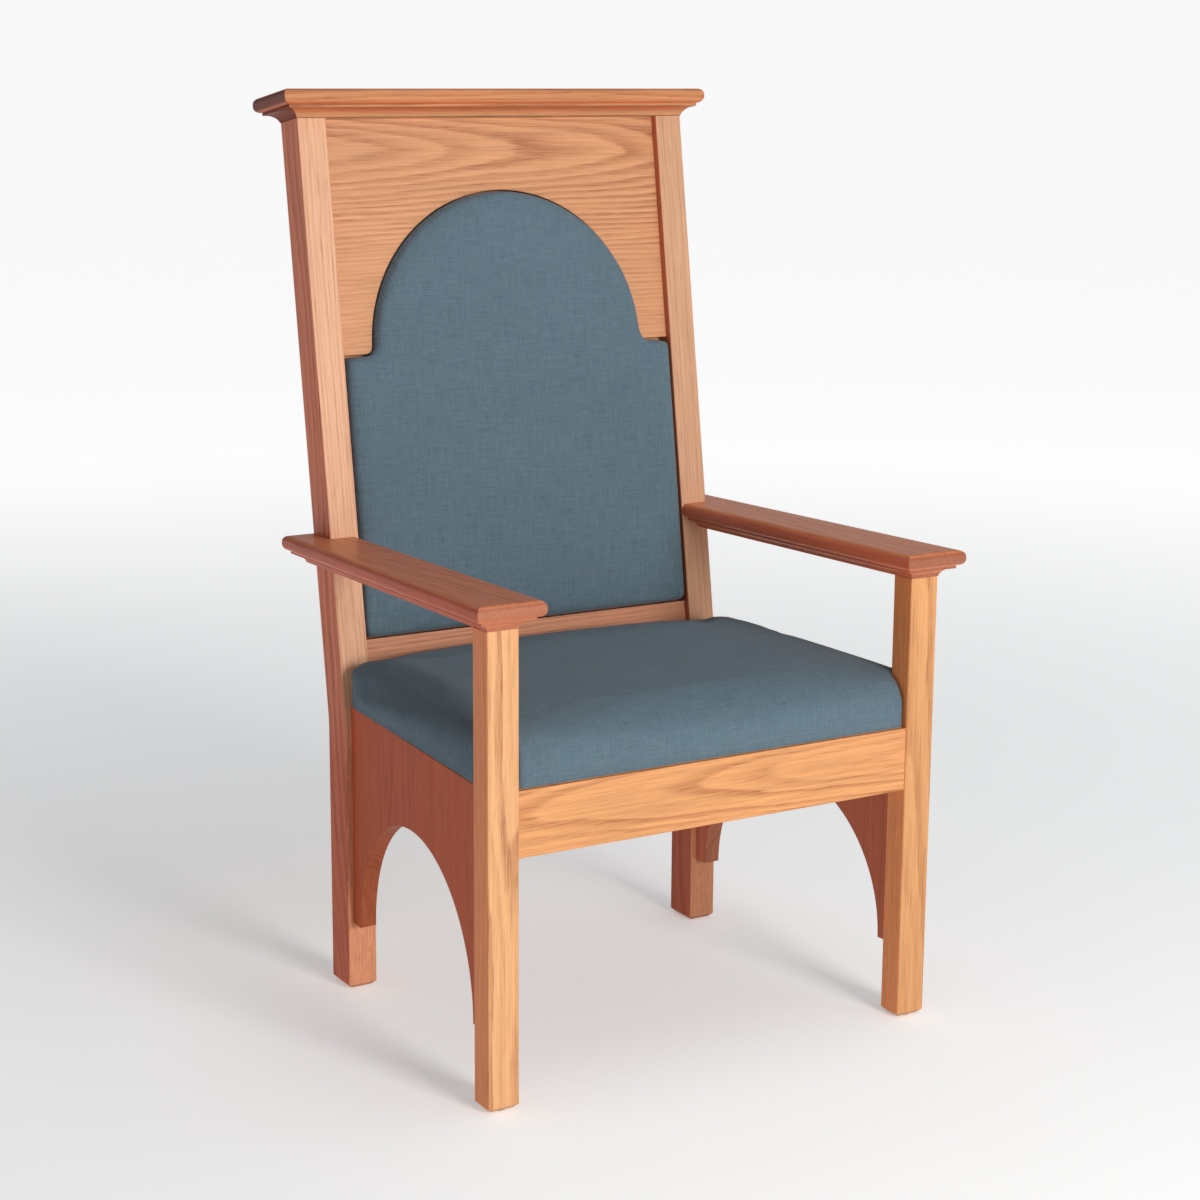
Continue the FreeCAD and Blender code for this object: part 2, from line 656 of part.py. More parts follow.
def pad_form(inset, back):
    """Crowned pad with drawn-in sides and a rolled front edge, from the given depth forwards."""
    ahead = pad_wire(inset)
    ahead.translate(REARWARD * -PAD_PROUD)
    behind = pad_wire(inset + PAD_DRAW_IN)
    behind.translate(REARWARD * back)
    sides = Part.makeLoft([ahead, behind], True, True)
    reach = math.hypot(POST_INNER, (ARCH_CENTRE + ARCH_RADIUS - BACK_RAIL_TOP) / 2)
    radius = (reach ** 2 + PAD_CROWN ** 2) / (2 * PAD_CROWN)
    middle = (ARCH_CENTRE + ARCH_RADIUS + BACK_RAIL_TOP) / 2
    front = HEADBOARD_RECESS - PAD_PROUD + inset
    dome = Part.makeSphere(radius, FreeCAD.Vector(0, front + radius, middle))
    pad = sides.common(dome)
    rim = [edge for edge in pad.Edges if edge.BoundBox.YMax < HEADBOARD_BACK - PAD_BOARD_THICKNESS]
    return pad.makeFillet(PAD_ROUND - inset, rim)


# Seat: board, foam, cover and dust cover

def seat_board():
    """Board inside the hem of the cover, with a lip that reaches back over the rear rail."""
    leg = LEG_INNER - SEAT_NOTCH_GAP - SOFT_GAP - COVER_THICKNESS
    front = CUSHION_FRONT + SEAT_BOARD_INSET
    notch = FRONT_LEG_DEPTH + SEAT_NOTCH_GAP + SOFT_GAP + COVER_THICKNESS
    inset = SIDE_PANEL_RECESS - SEAT_OVERHANG + SEAT_BOARD_INSET
    back = CUSHION_BACK - SEAT_BOARD_INSET
    corner = back - SEAT_CORNER
    lip = POST_INNER - PANEL_GAP
    half = [(leg, front), (leg, notch), (side_x(notch, inset), notch), (side_x(corner, inset), corner),
            (side_x(back, inset) - SEAT_CORNER, back), (lip, back), (lip, REAR_RAIL_BACK)]
    plan = half + [(-x, y) for x, y in reversed(half)]
    board = prism([FreeCAD.Vector(x, y, SEAT_LINE) for x, y in plan], UPWARD * SEAT_BOARD_THICKNESS)
    screws = [seat_screw(plan, FIT) for plan in (front_block_plan(), rear_block_plan())]
    return board.cut(screws + [mirrored(screw) for screw in screws])


def seat_plan(inset, height):
    front = CUSHION_FRONT + inset
    back = CUSHION_BACK - inset
    corners = [(side_x(y, SIDE_PANEL_RECESS - SEAT_OVERHANG) - inset, y) for y in (front, back)]
    points = corners + [(-x, y) for x, y in reversed(corners)]
    points = [FreeCAD.Vector(x, y, height) for x, y in points]
    return Part.makePolygon(points + points[:1])


def seat_dome(inset):
    """Very large ball whose top is the crown of the seat: highest in the middle, lowest at the corners."""
    reach = math.hypot(LEG_OUTER, (CUSHION_BACK - CUSHION_FRONT) / 2)
    radius = (reach ** 2 + SEAT_CROWN ** 2) / (2 * SEAT_CROWN)
    top = SEAT_LINE + SEAT_EDGE_HEIGHT + SEAT_CROWN - inset
    ball = Part.makeSphere(radius)
    ball.rotate(ORIGIN, ACROSS, 90)
    ball.translate(FreeCAD.Vector(0, (CUSHION_BACK + CUSHION_FRONT) / 2, top - radius))
    return ball


def seat_form(inset, bottom):
    """Crowned cushion with drawn-in sides, rolled over along its top and notched round the front legs."""
    high = SEAT_LINE + SEAT_EDGE_HEIGHT + 2 * SEAT_CROWN
    body = Part.makeLoft([seat_plan(inset + SEAT_DRAW_IN, bottom), seat_plan(inset, high)], True, True)
    rear = [edge for edge in body.Edges if edge.BoundBox.ZLength > SEAT_EDGE_HEIGHT
            and edge.CenterOfMass.y > LEG_SPACING / 2]
    body = body.makeFillet(SEAT_CORNER - inset, rear).common(seat_dome(inset))
    front = [edge for edge in body.Edges if is_rim(edge) and edge.BoundBox.YMax < FRONT_LEG_DEPTH / 2]
    body = body.makeFillet(SEAT_FRONT_ROUND - inset, front)
    sides = [edge for edge in body.Edges if is_rim(edge) and edge.CenterOfMass.y > LEG_SPACING / 4]
    body = body.makeFillet(SEAT_SIDE_ROUND - inset, sides)
    gap = SEAT_NOTCH_GAP + inset
    notch = box(LEG_INNER - gap, FAR, -FAR, FRONT_LEG_DEPTH + gap, 0, FAR)
    return body.cut([notch, mirrored(notch)])


def is_rim(edge):
    """True for the edges round the top of the cushion."""
    return edge.BoundBox.ZMin > SEAT_LINE + SEAT_EDGE_HEIGHT / 2


def board_clearance():
    room = seat_board().BoundBox
    lip = POST_INNER - PANEL_GAP + SOFT_GAP
    return box(-lip, lip, CUSHION_BACK - SEAT_CORNER, room.YMax, 0, room.ZMax + SOFT_GAP)


def seat_cover():
    inner = seat_form(COVER_THICKNESS, CUSHION_BOTTOM - COVER_THICKNESS)
    return seat_form(0.0, CUSHION_BOTTOM).cut([inner, board_clearance()])


def seat_foam():
    filling = seat_form(COVER_THICKNESS + SOFT_GAP, CUSHION_BOTTOM)
    board = box(-FAR, FAR, -FAR, FAR, 0, SEAT_LINE + SEAT_BOARD_THICKNESS)
    return filling.cut(board)


def dust_cover():
    front = FRONT_RAIL_BACK + DUST_COVER_GAP
    back = LEG_SPACING - DUST_COVER_GAP
    wide = LEG_INNER - DUST_COVER_GAP
    narrow = inner_face(LEG_SPACING) - DUST_COVER_GAP
    plan = [(-wide, front), (wide, front), (narrow, back), (-narrow, back)]
    sheet = prism([FreeCAD.Vector(x, y, BLOCK_TOP) for x, y in plan], UPWARD * DUST_COVER_THICKNESS)
    screws = [seat_screw(plan, FIT) for plan in (front_block_plan(), rear_block_plan())]
    return sheet.cut(screws + [mirrored(screw) for screw in screws])


def back_pad_board():
    face = Part.Face(pad_wire(COVER_THICKNESS + SOFT_GAP + PAD_DRAW_IN))
    face.translate(REARWARD * (HEADBOARD_BACK - PAD_BOARD_THICKNESS))
    board = onto_back(face.extrude(REARWARD * PAD_BOARD_THICKNESS))
    return board.cut(back_screws(pad_screw_places(), FIT))


def back_pad_cover():
    inner = pad_form(COVER_THICKNESS, HEADBOARD_BACK + COVER_THICKNESS)
    return onto_back(pad_form(0.0, HEADBOARD_BACK).cut(inner))


def back_pad_foam():
    filling = pad_form(COVER_THICKNESS + SOFT_GAP, HEADBOARD_BACK)
    front = box(-FAR, FAR, -FAR, HEADBOARD_BACK - PAD_BOARD_THICKNESS, 0, FAR)
    return onto_back(filling.common(front))


def middle_of_outline():
    """Y half way between the front of the arms and the back of the cornice."""
    tip = math.radians(ARM_SLOPE)
    nose = (NOSE_LOW_RADIUS - ARM_OVERHANG, ARM_COVE + NOSE_LOW_RADIUS)
    front = nose[0] * math.cos(tip) + nose[1] * math.sin(tip) - NOSE_LOW_RADIUS
    depth = POST_DEPTH + CORNICE_OVERHANG - NOSE_TOP_RADIUS
    height = BACK_TOP + NOSE_THICKNESS - NOSE_TOP_RADIUS
    back = LEG_SPACING + depth * RAKE_COSINE + height * RAKE_SINE + NOSE_TOP_RADIUS
    return (front + back) / 2


def chair():
    leg = front_leg()
    post = rear_post()
    panel = side_panel()
    right_arm = arm()
    plans = (front_block_plan(), rear_block_plan())
    pieces = {
        "front_leg_right": leg,
        "front_leg_left": mirrored(leg),
        "rear_post_right": post,
        "rear_post_left": mirrored(post),
        "side_panel_right": panel,
        "side_panel_left": mirrored(panel),
        "arm_right": right_arm,
        "arm_left": mirrored(right_arm),
        "arm_dowels": pair(arm_dowels(0.0)),
        "arm_screws": pair(arm_screws(0.0)),
        "front_rail": seat_rail(LEG_INNER, RAIL_RECESS),
        "rear_seat_rail": seat_rail(POST_INNER, REAR_RAIL_FRONT),
        "corner_blocks": pair(Part.Compound([corner_block(plan) for plan in plans])),
        "corner_block_screws": pair(Part.Compound([block_screw(plan, 0.0) for plan in plans])),
        "seat_screws": pair(Part.Compound([seat_screw(plan, 0.0) for plan in plans])),
        "headboard_panel": headboard(),
        "back_rail": back_rail(),
        "back_panel": back_panel(),
        "back_screws": back_screws(every_back_screw_place(), 0.0),
        "back_screw_plugs": back_plugs(0.0),
        "back_pad_board": back_pad_board(),
        "back_pad_foam": back_pad_foam(),
        "back_pad_cover": back_pad_cover(),
        "cornice_cap": cornice_cap(),
        "cornice_cap_dowels": pair(cap_dowels(0.0)),
        "cornice_nailing_strips": cornice_strips(),
        "seat_board": seat_board(),
        "seat_foam": seat_foam(),
        "seat_cover": seat_cover(),
        "seat_dust_cover": dust_cover(),
        "floor_glides": pair(Part.Compound([glide(centre) for centre in foot_centres()])),
    }
    for side, cove in cornice_coves().items():
        pieces["cornice_cove_" + side] = cove
    return pieces


def main():
    os.makedirs("parts", exist_ok=True)
    to_origin = REARWARD * -middle_of_outline()
    for name, shape in chair().items():
        shape.translate(to_origin)
        shape.exportStep("parts/" + name + ".step")


main()
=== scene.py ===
"""Looks of a celebrant chair: varnished oak, and woven blue-grey cloth over a foam seat and back pad."""

import math
from collections import namedtuple

import bmesh
import bpy
from mathutils import Matrix, Vector


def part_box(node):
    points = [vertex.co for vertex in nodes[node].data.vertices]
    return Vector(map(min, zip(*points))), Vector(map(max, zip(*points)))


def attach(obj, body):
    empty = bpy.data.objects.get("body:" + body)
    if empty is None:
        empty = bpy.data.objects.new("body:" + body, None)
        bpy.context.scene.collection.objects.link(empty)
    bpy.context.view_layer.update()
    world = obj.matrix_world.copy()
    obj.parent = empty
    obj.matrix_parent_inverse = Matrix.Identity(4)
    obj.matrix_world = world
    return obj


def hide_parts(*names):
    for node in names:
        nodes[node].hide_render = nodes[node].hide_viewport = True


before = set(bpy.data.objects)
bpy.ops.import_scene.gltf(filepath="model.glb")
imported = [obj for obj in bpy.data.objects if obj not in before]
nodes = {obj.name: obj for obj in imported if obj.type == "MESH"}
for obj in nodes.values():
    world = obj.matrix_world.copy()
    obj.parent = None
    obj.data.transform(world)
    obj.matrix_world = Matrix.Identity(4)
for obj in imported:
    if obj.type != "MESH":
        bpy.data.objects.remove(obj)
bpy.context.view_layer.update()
scene = bpy.context.scene

RAKE = math.radians(8.6)
QUARTER = math.pi / 2

# Colours, as linear red, green and blue
WHITE = (1.0, 1.0, 1.0)
OAK_LIGHT = (0.78, 0.380, 0.175)
OAK_DARK = (0.47, 0.170, 0.066)
OAK_PORE = (0.24, 0.080, 0.032)
HARDWOOD_LIGHT = (0.74, 0.53, 0.32)
HARDWOOD_DARK = (0.58, 0.37, 0.20)
HARDWOOD_PORE = (0.42, 0.25, 0.12)
CLOTH_MAIN = (0.115, 0.173, 0.214)
CLOTH_DARK = (0.075, 0.112, 0.146)
CLOTH_LIGHT = (0.175, 0.236, 0.270)
PLY_MAIN = (0.44, 0.27, 0.14)
PLY_LIGHT = (0.50, 0.31, 0.17)
PLY_DARK = (0.38, 0.22, 0.11)
PLY_TURNED = (0.28, 0.15, 0.07)
FOAM_MAIN = (0.72, 0.66, 0.48)
FOAM_LIGHT = (0.78, 0.72, 0.52)
FOAM_DARK = (0.66, 0.58, 0.38)
FOAM_CELL = (0.42, 0.36, 0.22)
ZINC_MAIN = (0.60, 0.59, 0.54)
ZINC_BRIGHT = (0.66, 0.65, 0.60)
ZINC_DULL = (0.46, 0.44, 0.37)
NYLON_MAIN = (0.10, 0.065, 0.045)
NYLON_SCUFF = (0.30, 0.25, 0.21)
FELT_MAIN = (0.02, 0.02, 0.022)
FELT_DARK = (0.018, 0.018, 0.020)
FELT_LINT = (0.10, 0.10, 0.105)
PAPER_MAIN = (0.90, 0.90, 0.90)
PAPER_LIGHT = (0.93, 0.93, 0.93)

# How fine the noises in wood are, per metre of a board's width, thickness and length
DRIFT_GRAIN = (6.0, 6.0, 1.5)
RIPPLE_GRAIN = (70.0, 70.0, 7.0)
FAINT_GRAIN = (9.0, 9.0, 3.0)
FIBRE_GRAIN = (330.0, 330.0, 6.0)
PATCH_GRAIN = (10.0, 10.0, 2.5)
PORE_GRAIN = (620.0, 620.0, 24.0)
RUB_GRAIN = (45.0, 45.0, 14.0)

# How far the rings wander, how round the arrises look, how deep pores are, the heights below which the painted
# shade under the seat is full and above which it is gone, how dark a pore may be and how rough the varnish is
PITH_DRIFT = (0.03, 0.03, 0.0)
ARRIS = 0.0018
PORE_DEPTH = 0.0004
SEAT_SHADE_LOW = 0.30
SEAT_SHADE_HIGH = 0.44
DARKEST_PORE = 0.62
VARNISH_ROUGHNESS = 0.17

# Threads of the cloth per metre, and how fine their thick and thin places are
THREADS = 620.0
WARP_SLUB = (560.0, 26.0, 1.0)
WEFT_SLUB = (26.0, 560.0, 1.0)
CLOTH_RELIEF = 0.0005

# Layers of plywood and cells of foam per metre
PLY_LAYERS = 520.0
FOAM_CELLS = 900.0

# A board's finish: varnish, gloss, the painted shade of its narrow faces (redder and mostly darker, as sides
# turned from the key light look), its ends, darker partly as real end grain and partly by painted shade, the
# painted shade low on a post under the seat, its faintest ring and how strongly its rings show
Finish = namedtuple("Finish", "coat gloss edge end foot faintest figure")
PLAIN = Finish(0.10, 0.22, (0.90, 0.66, 0.58), (0.60, 0.50, 0.46), WHITE, 0.15, 0.72)
LEFT_LEG = PLAIN._replace(gloss=0.20, edge=(1.18, 0.73, 0.52))
RIGHT_LEG = PLAIN._replace(gloss=0.20, edge=(1.32, 0.93, 0.75))
# Posts: painted shade on their narrow faces and low down under the seat
POST = PLAIN._replace(coat=0.06, gloss=0.12, edge=(0.98, 0.51, 0.41), foot=(0.83, 0.63, 0.55))
BASE_BOARD = PLAIN._replace(coat=0.0, gloss=0.06, edge=(0.62, 0.80, 0.84), end=(0.62, 0.70, 0.70),
                            figure=0.36)
HEADBOARD = PLAIN._replace(edge=(0.66, 0.62, 0.62), end=(0.60, 0.55, 0.55), faintest=0.60, figure=1.0)
# Arms and cornice: painted shade on narrow faces and ends, darkest on the right arm's front end and the cap's ends
LEFT_ARM = PLAIN._replace(coat=0.18, edge=(0.80, 0.42, 0.30), end=(0.58, 0.62, 0.72))
RIGHT_ARM = PLAIN._replace(coat=0.26, edge=(1.02, 0.75, 0.85), end=(0.42, 0.46, 0.60))
CAP = PLAIN._replace(coat=0.05, gloss=0.12, edge=(1.05, 0.70, 0.58), end=(0.34, 0.18, 0.20))
COVE = PLAIN._replace(coat=0.04, gloss=0.10, edge=(0.90, 0.60, 0.52))
BARE = PLAIN._replace(coat=0.0, end=(0.62, 0.44, 0.36), figure=0.36)


class Graph:
    """A node tree, with short calls that add nodes and link them."""

    def __init__(self, tree):
        self.tree = tree

    def feed(self, socket, value):
        if isinstance(value, bpy.types.NodeSocket):
            self.tree.links.new(value, socket)
        else:
            socket.default_value = value

    def add(self, kind, inputs=None, **settings):
        node = self.tree.nodes.new(kind)
        for key, value in settings.items():
            setattr(node, key, value)
        for key, value in (inputs or {}).items():
            self.feed(node.inputs[key], value)
        return node

    def math(self, operation, first, second=0.0):
        return self.add("ShaderNodeMath", {0: first, 1: second}, operation=operation).outputs[0]

    def vector(self, operation, first, second):
        return self.add("ShaderNodeVectorMath", {0: first, 1: second}, operation=operation).outputs[0]

    def dot(self, first, second):
        node = self.add("ShaderNodeVectorMath", {0: first, 1: second}, operation="DOT_PRODUCT")
        return node.outputs["Value"]

    def length(self, vector):
        return self.add("ShaderNodeVectorMath", {0: vector}, operation="LENGTH").outputs["Value"]

    def split(self, vector):
        return self.add("ShaderNodeSeparateXYZ", {0: vector}).outputs

    def join(self, x, y, z):
        return self.add("ShaderNodeCombineXYZ", {0: x, 1: y, 2: z}).outputs[0]

    def step(self, value, low, high, bottom=0.0, top=1.0):
        inputs = {"Value": value, "From Min": low, "From Max": high, "To Min": bottom, "To Max": top}
        return self.add("ShaderNodeMapRange", inputs, interpolation_type="SMOOTHSTEP").outputs[0]

    def spread(self, value, bottom, top):
        return self.add("ShaderNodeMapRange", {"Value": value, "To Min": bottom, "To Max": top}).outputs[0]

    def mix(self, factor, first, second, blend="MIX"):
        node = self.add("ShaderNodeMix", data_type="RGBA", blend_type=blend)
        for socket, value in ((node.inputs[0], factor), (node.inputs[6], first), (node.inputs[7], second)):
            if isinstance(value, tuple):
                value = (*value, 1.0)
            self.feed(socket, value)
        return node.outputs[2]

    def shaded(self, colour, value):
        return self.mix(1.0, colour, self.join(value, value, value), "MULTIPLY")

    def noise(self, place, scale, seed, detail=2.0, roughness=0.5):
        stretched = self.vector("MULTIPLY", place, scale)
        inputs = {"Vector": stretched, "W": seed, "Scale": 1.0, "Detail": detail, "Roughness": roughness}
        return self.add("ShaderNodeTexNoise", inputs, noise_dimensions="4D").outputs

    def object_place(self):
        return self.add("ShaderNodeTexCoord").outputs["Object"]

    def chance(self, value, seed):
        return self.add("ShaderNodeTexWhiteNoise", {"Vector": self.join(value, seed, 0.0)},
                        noise_dimensions="2D").outputs["Value"]

    def bump(self, height, depth, strength, normal=None):
        inputs = {"Height": height, "Distance": depth, "Strength": strength}
        if normal is not None:
            inputs["Normal"] = normal
        return self.add("ShaderNodeBump", inputs).outputs[0]


class Surface(Graph):
    """The node tree of a new material, which ends in the material's own shader."""

    def __init__(self, name, colour):
        self.material = bpy.data.materials.new(name)
        self.material.use_nodes = True
        self.material.diffuse_color = (*colour, 1.0)
        super().__init__(self.material.node_tree)
        self.shader = self.tree.nodes["Principled BSDF"]

    def finish(self, **sockets):
        for key, value in sockets.items():
            if isinstance(value, tuple):
                value = (*value, 1.0)
            self.feed(self.shader.inputs[key.replace("_", " ")], value)
        return self.material


def early_wood(g, local, facing, on_end, pith, tilt, ring, seed, faintest):
    """Share of early wood: strong where a face is cut flat to the rings, weak on quartered faces and ends."""
    slow = g.noise(local, DRIFT_GRAIN, seed)["Color"]
    drift = g.vector("MULTIPLY", g.vector("SUBTRACT", slow, (0.5, 0.5, 0.5)), PITH_DRIFT)
    x, y, z = g.split(g.vector("ADD", local, drift))
    sideways = g.math("SUBTRACT", x, pith[0])
    inward = g.math("ADD", g.math("SUBTRACT", y, pith[1]), g.math("MULTIPLY", z, tilt))
    radius = g.length(g.join(sideways, inward, 0.0))
    ripple = g.spread(g.noise(local, RIPPLE_GRAIN, seed + 3.0, detail=3.0)["Fac"], -0.5, 0.5)
    count = g.math("ADD", g.math("DIVIDE", radius, ring), ripple)
    share = g.math("FRACT", count)
    widthways, inwards, _ = facing
    toward = g.math("ADD", g.math("MULTIPLY", widthways, sideways), g.math("MULTIPLY", inwards, inward))
    flat_cut = g.math("ABSOLUTE", g.math("DIVIDE", toward, radius))
    strength = g.spread(g.chance(g.math("FLOOR", count), seed), faintest, 1.0)
    strength = g.math("MULTIPLY", strength, g.step(flat_cut, 0.2, 0.9, 0.32, 1.0))
    faint = g.step(g.noise(local, FAINT_GRAIN, seed + 29.0)["Fac"], 0.34, 0.62, 0.55, 1.0)
    strength = g.math("MULTIPLY", g.math("MULTIPLY", strength, faint), g.spread(on_end, 1.0, 0.35))
    rise = g.step(share, 0.0, 0.16)
    fall = g.step(share, 0.18, 0.90, 1.0, 0.0)
    return g.math("MULTIPLY", g.math("MULTIPLY", rise, fall), strength)


def wood(name, centre, turn, pith, tilt, ring, seed, tone_and_shade, finish, colours):
    """Solid wood: growth rings round a pith line, so every face of a board shows the cut that it has."""
    light, dark, pore_colour = (tuple(c * t for c, t in zip(colour, tone_and_shade)) for colour in colours)
    g = Surface(name, light)
    place = g.object_place()
    inputs = {"Vector": place, "Location": centre, "Rotation": turn.to_euler()}
    local = g.add("ShaderNodeMapping", inputs, vector_type="TEXTURE").outputs[0]
    flat = g.add("ShaderNodeNewGeometry").outputs["Normal"]
    facing = [g.dot(flat, tuple(axis)) for axis in turn.col]
    # Masks for painted shade: the narrow faces across a board's width, its end faces (also read by the rings) and
    # the heights under the seat
    side_shade_mask = g.step(g.math("ABSOLUTE", facing[0]), 0.55, 0.95)
    on_end = g.step(g.math("ABSOLUTE", facing[2]), 0.50, 0.90)
    seat_shade_mask = g.step(g.split(place)[2], SEAT_SHADE_LOW, SEAT_SHADE_HIGH, 1.0, 0.0)
    early = early_wood(g, local, facing, on_end, pith, tilt, ring, seed, finish.faintest)
    fibre = g.noise(local, FIBRE_GRAIN, seed + 7.0, detail=4.0, roughness=0.65)["Fac"]
    patch = g.noise(local, PATCH_GRAIN, seed + 11.0)["Fac"]
    streak = g.step(g.noise(local, PORE_GRAIN, seed + 17.0)["Fac"], 0.50, 0.66)
    pore = g.math("MULTIPLY", streak, g.spread(early, 0.22, 1.0))
    colour = g.mix(g.math("MULTIPLY", early, finish.figure), light, dark)
    colour = g.mix(g.math("MULTIPLY", pore, min(DARKEST_PORE, finish.figure)), colour, pore_colour)
    colour = g.shaded(colour, g.math("MULTIPLY", g.spread(fibre, 0.68, 1.32), g.spread(patch, 0.88, 1.12)))
    # Painted shade multiplied in: narrow faces redder and darker, end faces darker (partly real end grain), posts
    # darker under the seat
    for share, stain_and_shade in ((side_shade_mask, finish.edge), (on_end, finish.end), (seat_shade_mask, finish.foot)):
        colour = g.mix(1.0, colour, g.mix(share, WHITE, stain_and_shade), "MULTIPLY")
    rounded = g.add("ShaderNodeBevel", {"Radius": ARRIS}, samples=4).outputs[0]
    edge = g.step(g.dot(rounded, flat), 0.985, 0.80)
    rub = g.step(g.noise(local, RUB_GRAIN, seed + 23.0)["Fac"], 0.35, 0.65)
    worn = g.math("MULTIPLY", edge, g.spread(rub, 0.10, 0.45))
    colour = g.mix(worn, colour, tuple(min(1.0, 1.1 * c) for c in light))
    height = g.math("SUBTRACT", g.math("MULTIPLY", fibre, 0.25), g.math("MULTIPLY", pore, 0.7))
    roughness = g.math("ADD", g.spread(patch, 0.36, 0.48), g.math("MULTIPLY", pore, 0.18))
    return g.finish(Base_Color=colour, Roughness=roughness, Specular_IOR_Level=finish.gloss,
                    Coat_Weight=finish.coat, Coat_Roughness=VARNISH_ROUGHNESS,
                    Normal=g.bump(height, PORE_DEPTH, 0.35, rounded))


def woven(name, seed):
    """Plain weave of mixed threads. The cloth's own thread lines come with the piece as an attribute."""
    g = Surface(name, CLOTH_MAIN)
    thread = g.add("ShaderNodeAttribute", attribute_name="thread").outputs["Vector"]
    across, along, _ = g.split(g.vector("MULTIPLY", thread, (THREADS, THREADS, 0.0)))
    crossing = g.math("ADD", g.math("FLOOR", across), g.math("FLOOR", along))
    over = g.math("ABSOLUTE", g.math("MODULO", crossing, 2.0))
    under = g.math("SUBTRACT", 1.0, over)

    def arched(line):
        return g.math("ABSOLUTE", g.math("SINE", g.math("MULTIPLY", line, math.pi)))

    def on_top(warp, weft):
        return g.math("ADD", g.math("MULTIPLY", warp, over), g.math("MULTIPLY", weft, under))

    crown = on_top(arched(across), arched(along))
    slub = on_top(g.noise(thread, WARP_SLUB, seed)["Fac"], g.noise(thread, WEFT_SLUB, seed + 5.0)["Fac"])
    heather = g.noise(thread, (150.0, 150.0, 1.0), seed + 9.0, detail=3.0, roughness=0.7)["Fac"]
    cloud = g.noise(thread, (9.0, 9.0, 1.0), seed + 13.0)["Fac"]
    colour = g.mix(g.step(slub, 0.34, 0.50, 0.60, 0.0), CLOTH_MAIN, CLOTH_DARK)
    colour = g.mix(g.step(slub, 0.52, 0.70, 0.0, 0.55), colour, CLOTH_LIGHT)
    value = g.math("MULTIPLY", g.spread(heather, 0.80, 1.20), g.spread(cloud, 0.93, 1.07))
    colour = g.shaded(colour, g.math("MULTIPLY", value, g.spread(crown, 0.70, 1.12)))
    height = g.math("ADD", crown, g.math("MULTIPLY", slub, 0.6))
    return g.finish(Base_Color=colour, Roughness=g.spread(heather, 0.82, 0.98), Sheen_Weight=0.12,
                    Sheen_Roughness=0.45, Specular_IOR_Level=0.13, Normal=g.bump(height, CLOTH_RELIEF, 0.5))


def plywood(name, turn, seed):
    """Veneered faces, and layers of turned grain on the edges."""
    g = Surface(name, PLY_MAIN)
    inputs = {"Vector": g.object_place(), "Rotation": turn.to_euler()}
    local = g.add("ShaderNodeMapping", inputs, vector_type="TEXTURE").outputs[0]
    layer = g.math("MULTIPLY", g.split(local)[2], PLY_LAYERS)
    ply = g.step(g.math("SINE", g.math("MULTIPLY", layer, math.pi)), -0.2, 0.2)
    figure = g.noise(local, (90.0, 6.0, 40.0), seed, detail=4.0)["Fac"]
    fibre = g.noise(local, (700.0, 18.0, 300.0), seed + 4.0)["Fac"]
    colour = g.mix(g.step(figure, 0.38, 0.66), PLY_LIGHT, PLY_DARK)
    colour = g.mix(g.math("MULTIPLY", ply, 0.35), colour, PLY_TURNED)
    colour = g.shaded(colour, g.spread(fibre, 0.8, 1.2))
    return g.finish(Base_Color=colour, Roughness=g.spread(fibre, 0.55, 0.75),
                    Normal=g.bump(fibre, 0.0004, 0.4))


def foam_block(name, seed):
    """Open-celled foam, which shows only if a cover is lifted."""
    g = Surface(name, FOAM_MAIN)
    place = g.object_place()
    cells = g.add("ShaderNodeTexVoronoi", {"Vector": place, "Scale": FOAM_CELLS}).outputs["Distance"]
    tint = g.noise(place, (12.0, 12.0, 12.0), seed)["Fac"]
    colour = g.mix(tint, FOAM_LIGHT, FOAM_DARK)
    colour = g.mix(g.step(cells, 0.2, 0.6, 0.5, 0.0), colour, FOAM_CELL)
    return g.finish(Base_Color=colour, Roughness=g.spread(cells, 0.85, 1.0), Specular_IOR_Level=0.15,
                    Normal=g.bump(cells, 0.0008, 0.6))


def zinc(name, seed):
    """Zinc-plated steel with a slight yellow cast, a fine spangle and dull spots."""
    g = Surface(name, ZINC_MAIN)
    place = g.object_place()
    spangle = g.noise(place, (600.0, 600.0, 600.0), seed, detail=3.0)["Fac"]
    dull = g.noise(place, (90.0, 90.0, 90.0), seed + 2.0)["Fac"]
    colour = g.mix(g.step(dull, 0.4, 0.65), ZINC_BRIGHT, ZINC_DULL)
    return g.finish(Base_Color=colour, Metallic=1.0, Roughness=g.spread(spangle, 0.24, 0.50),
                    Normal=g.bump(spangle, 0.0002, 0.3))


def nylon(name, seed):
    """Brown moulded nylon, scuffed by the floor."""
    g = Surface(name, NYLON_MAIN)
    place = g.object_place()
    grain = g.noise(place, (1500.0, 1500.0, 1500.0), seed)["Fac"]
    scuff = g.step(g.noise(place, (90.0, 700.0, 90.0), seed + 3.0, detail=3.0)["Fac"], 0.52, 0.70)
    colour = g.mix(g.math("MULTIPLY", scuff, 0.5), NYLON_MAIN, NYLON_SCUFF)
    return g.finish(Base_Color=colour, Roughness=g.spread(scuff, 0.42, 0.75),
                    Normal=g.bump(g.math("ADD", grain, scuff), 0.0002, 0.3))


def felt(name, seed):
    """Black felted cloth with paler lint."""
    g = Surface(name, FELT_MAIN)
    place = g.object_place()
    nap = g.noise(place, (900.0, 900.0, 900.0), seed, detail=4.0)["Fac"]
    lint = g.step(g.noise(place, (260.0, 260.0, 260.0), seed + 4.0, detail=3.0)["Fac"], 0.60, 0.74)
    colour = g.mix(g.math("MULTIPLY", lint, 0.6), FELT_DARK, FELT_LINT)
    return g.finish(Base_Color=colour, Roughness=g.spread(nap, 0.85, 1.0), Specular_IOR_Level=0.1,
                    Normal=g.bump(nap, 0.0005, 0.5))


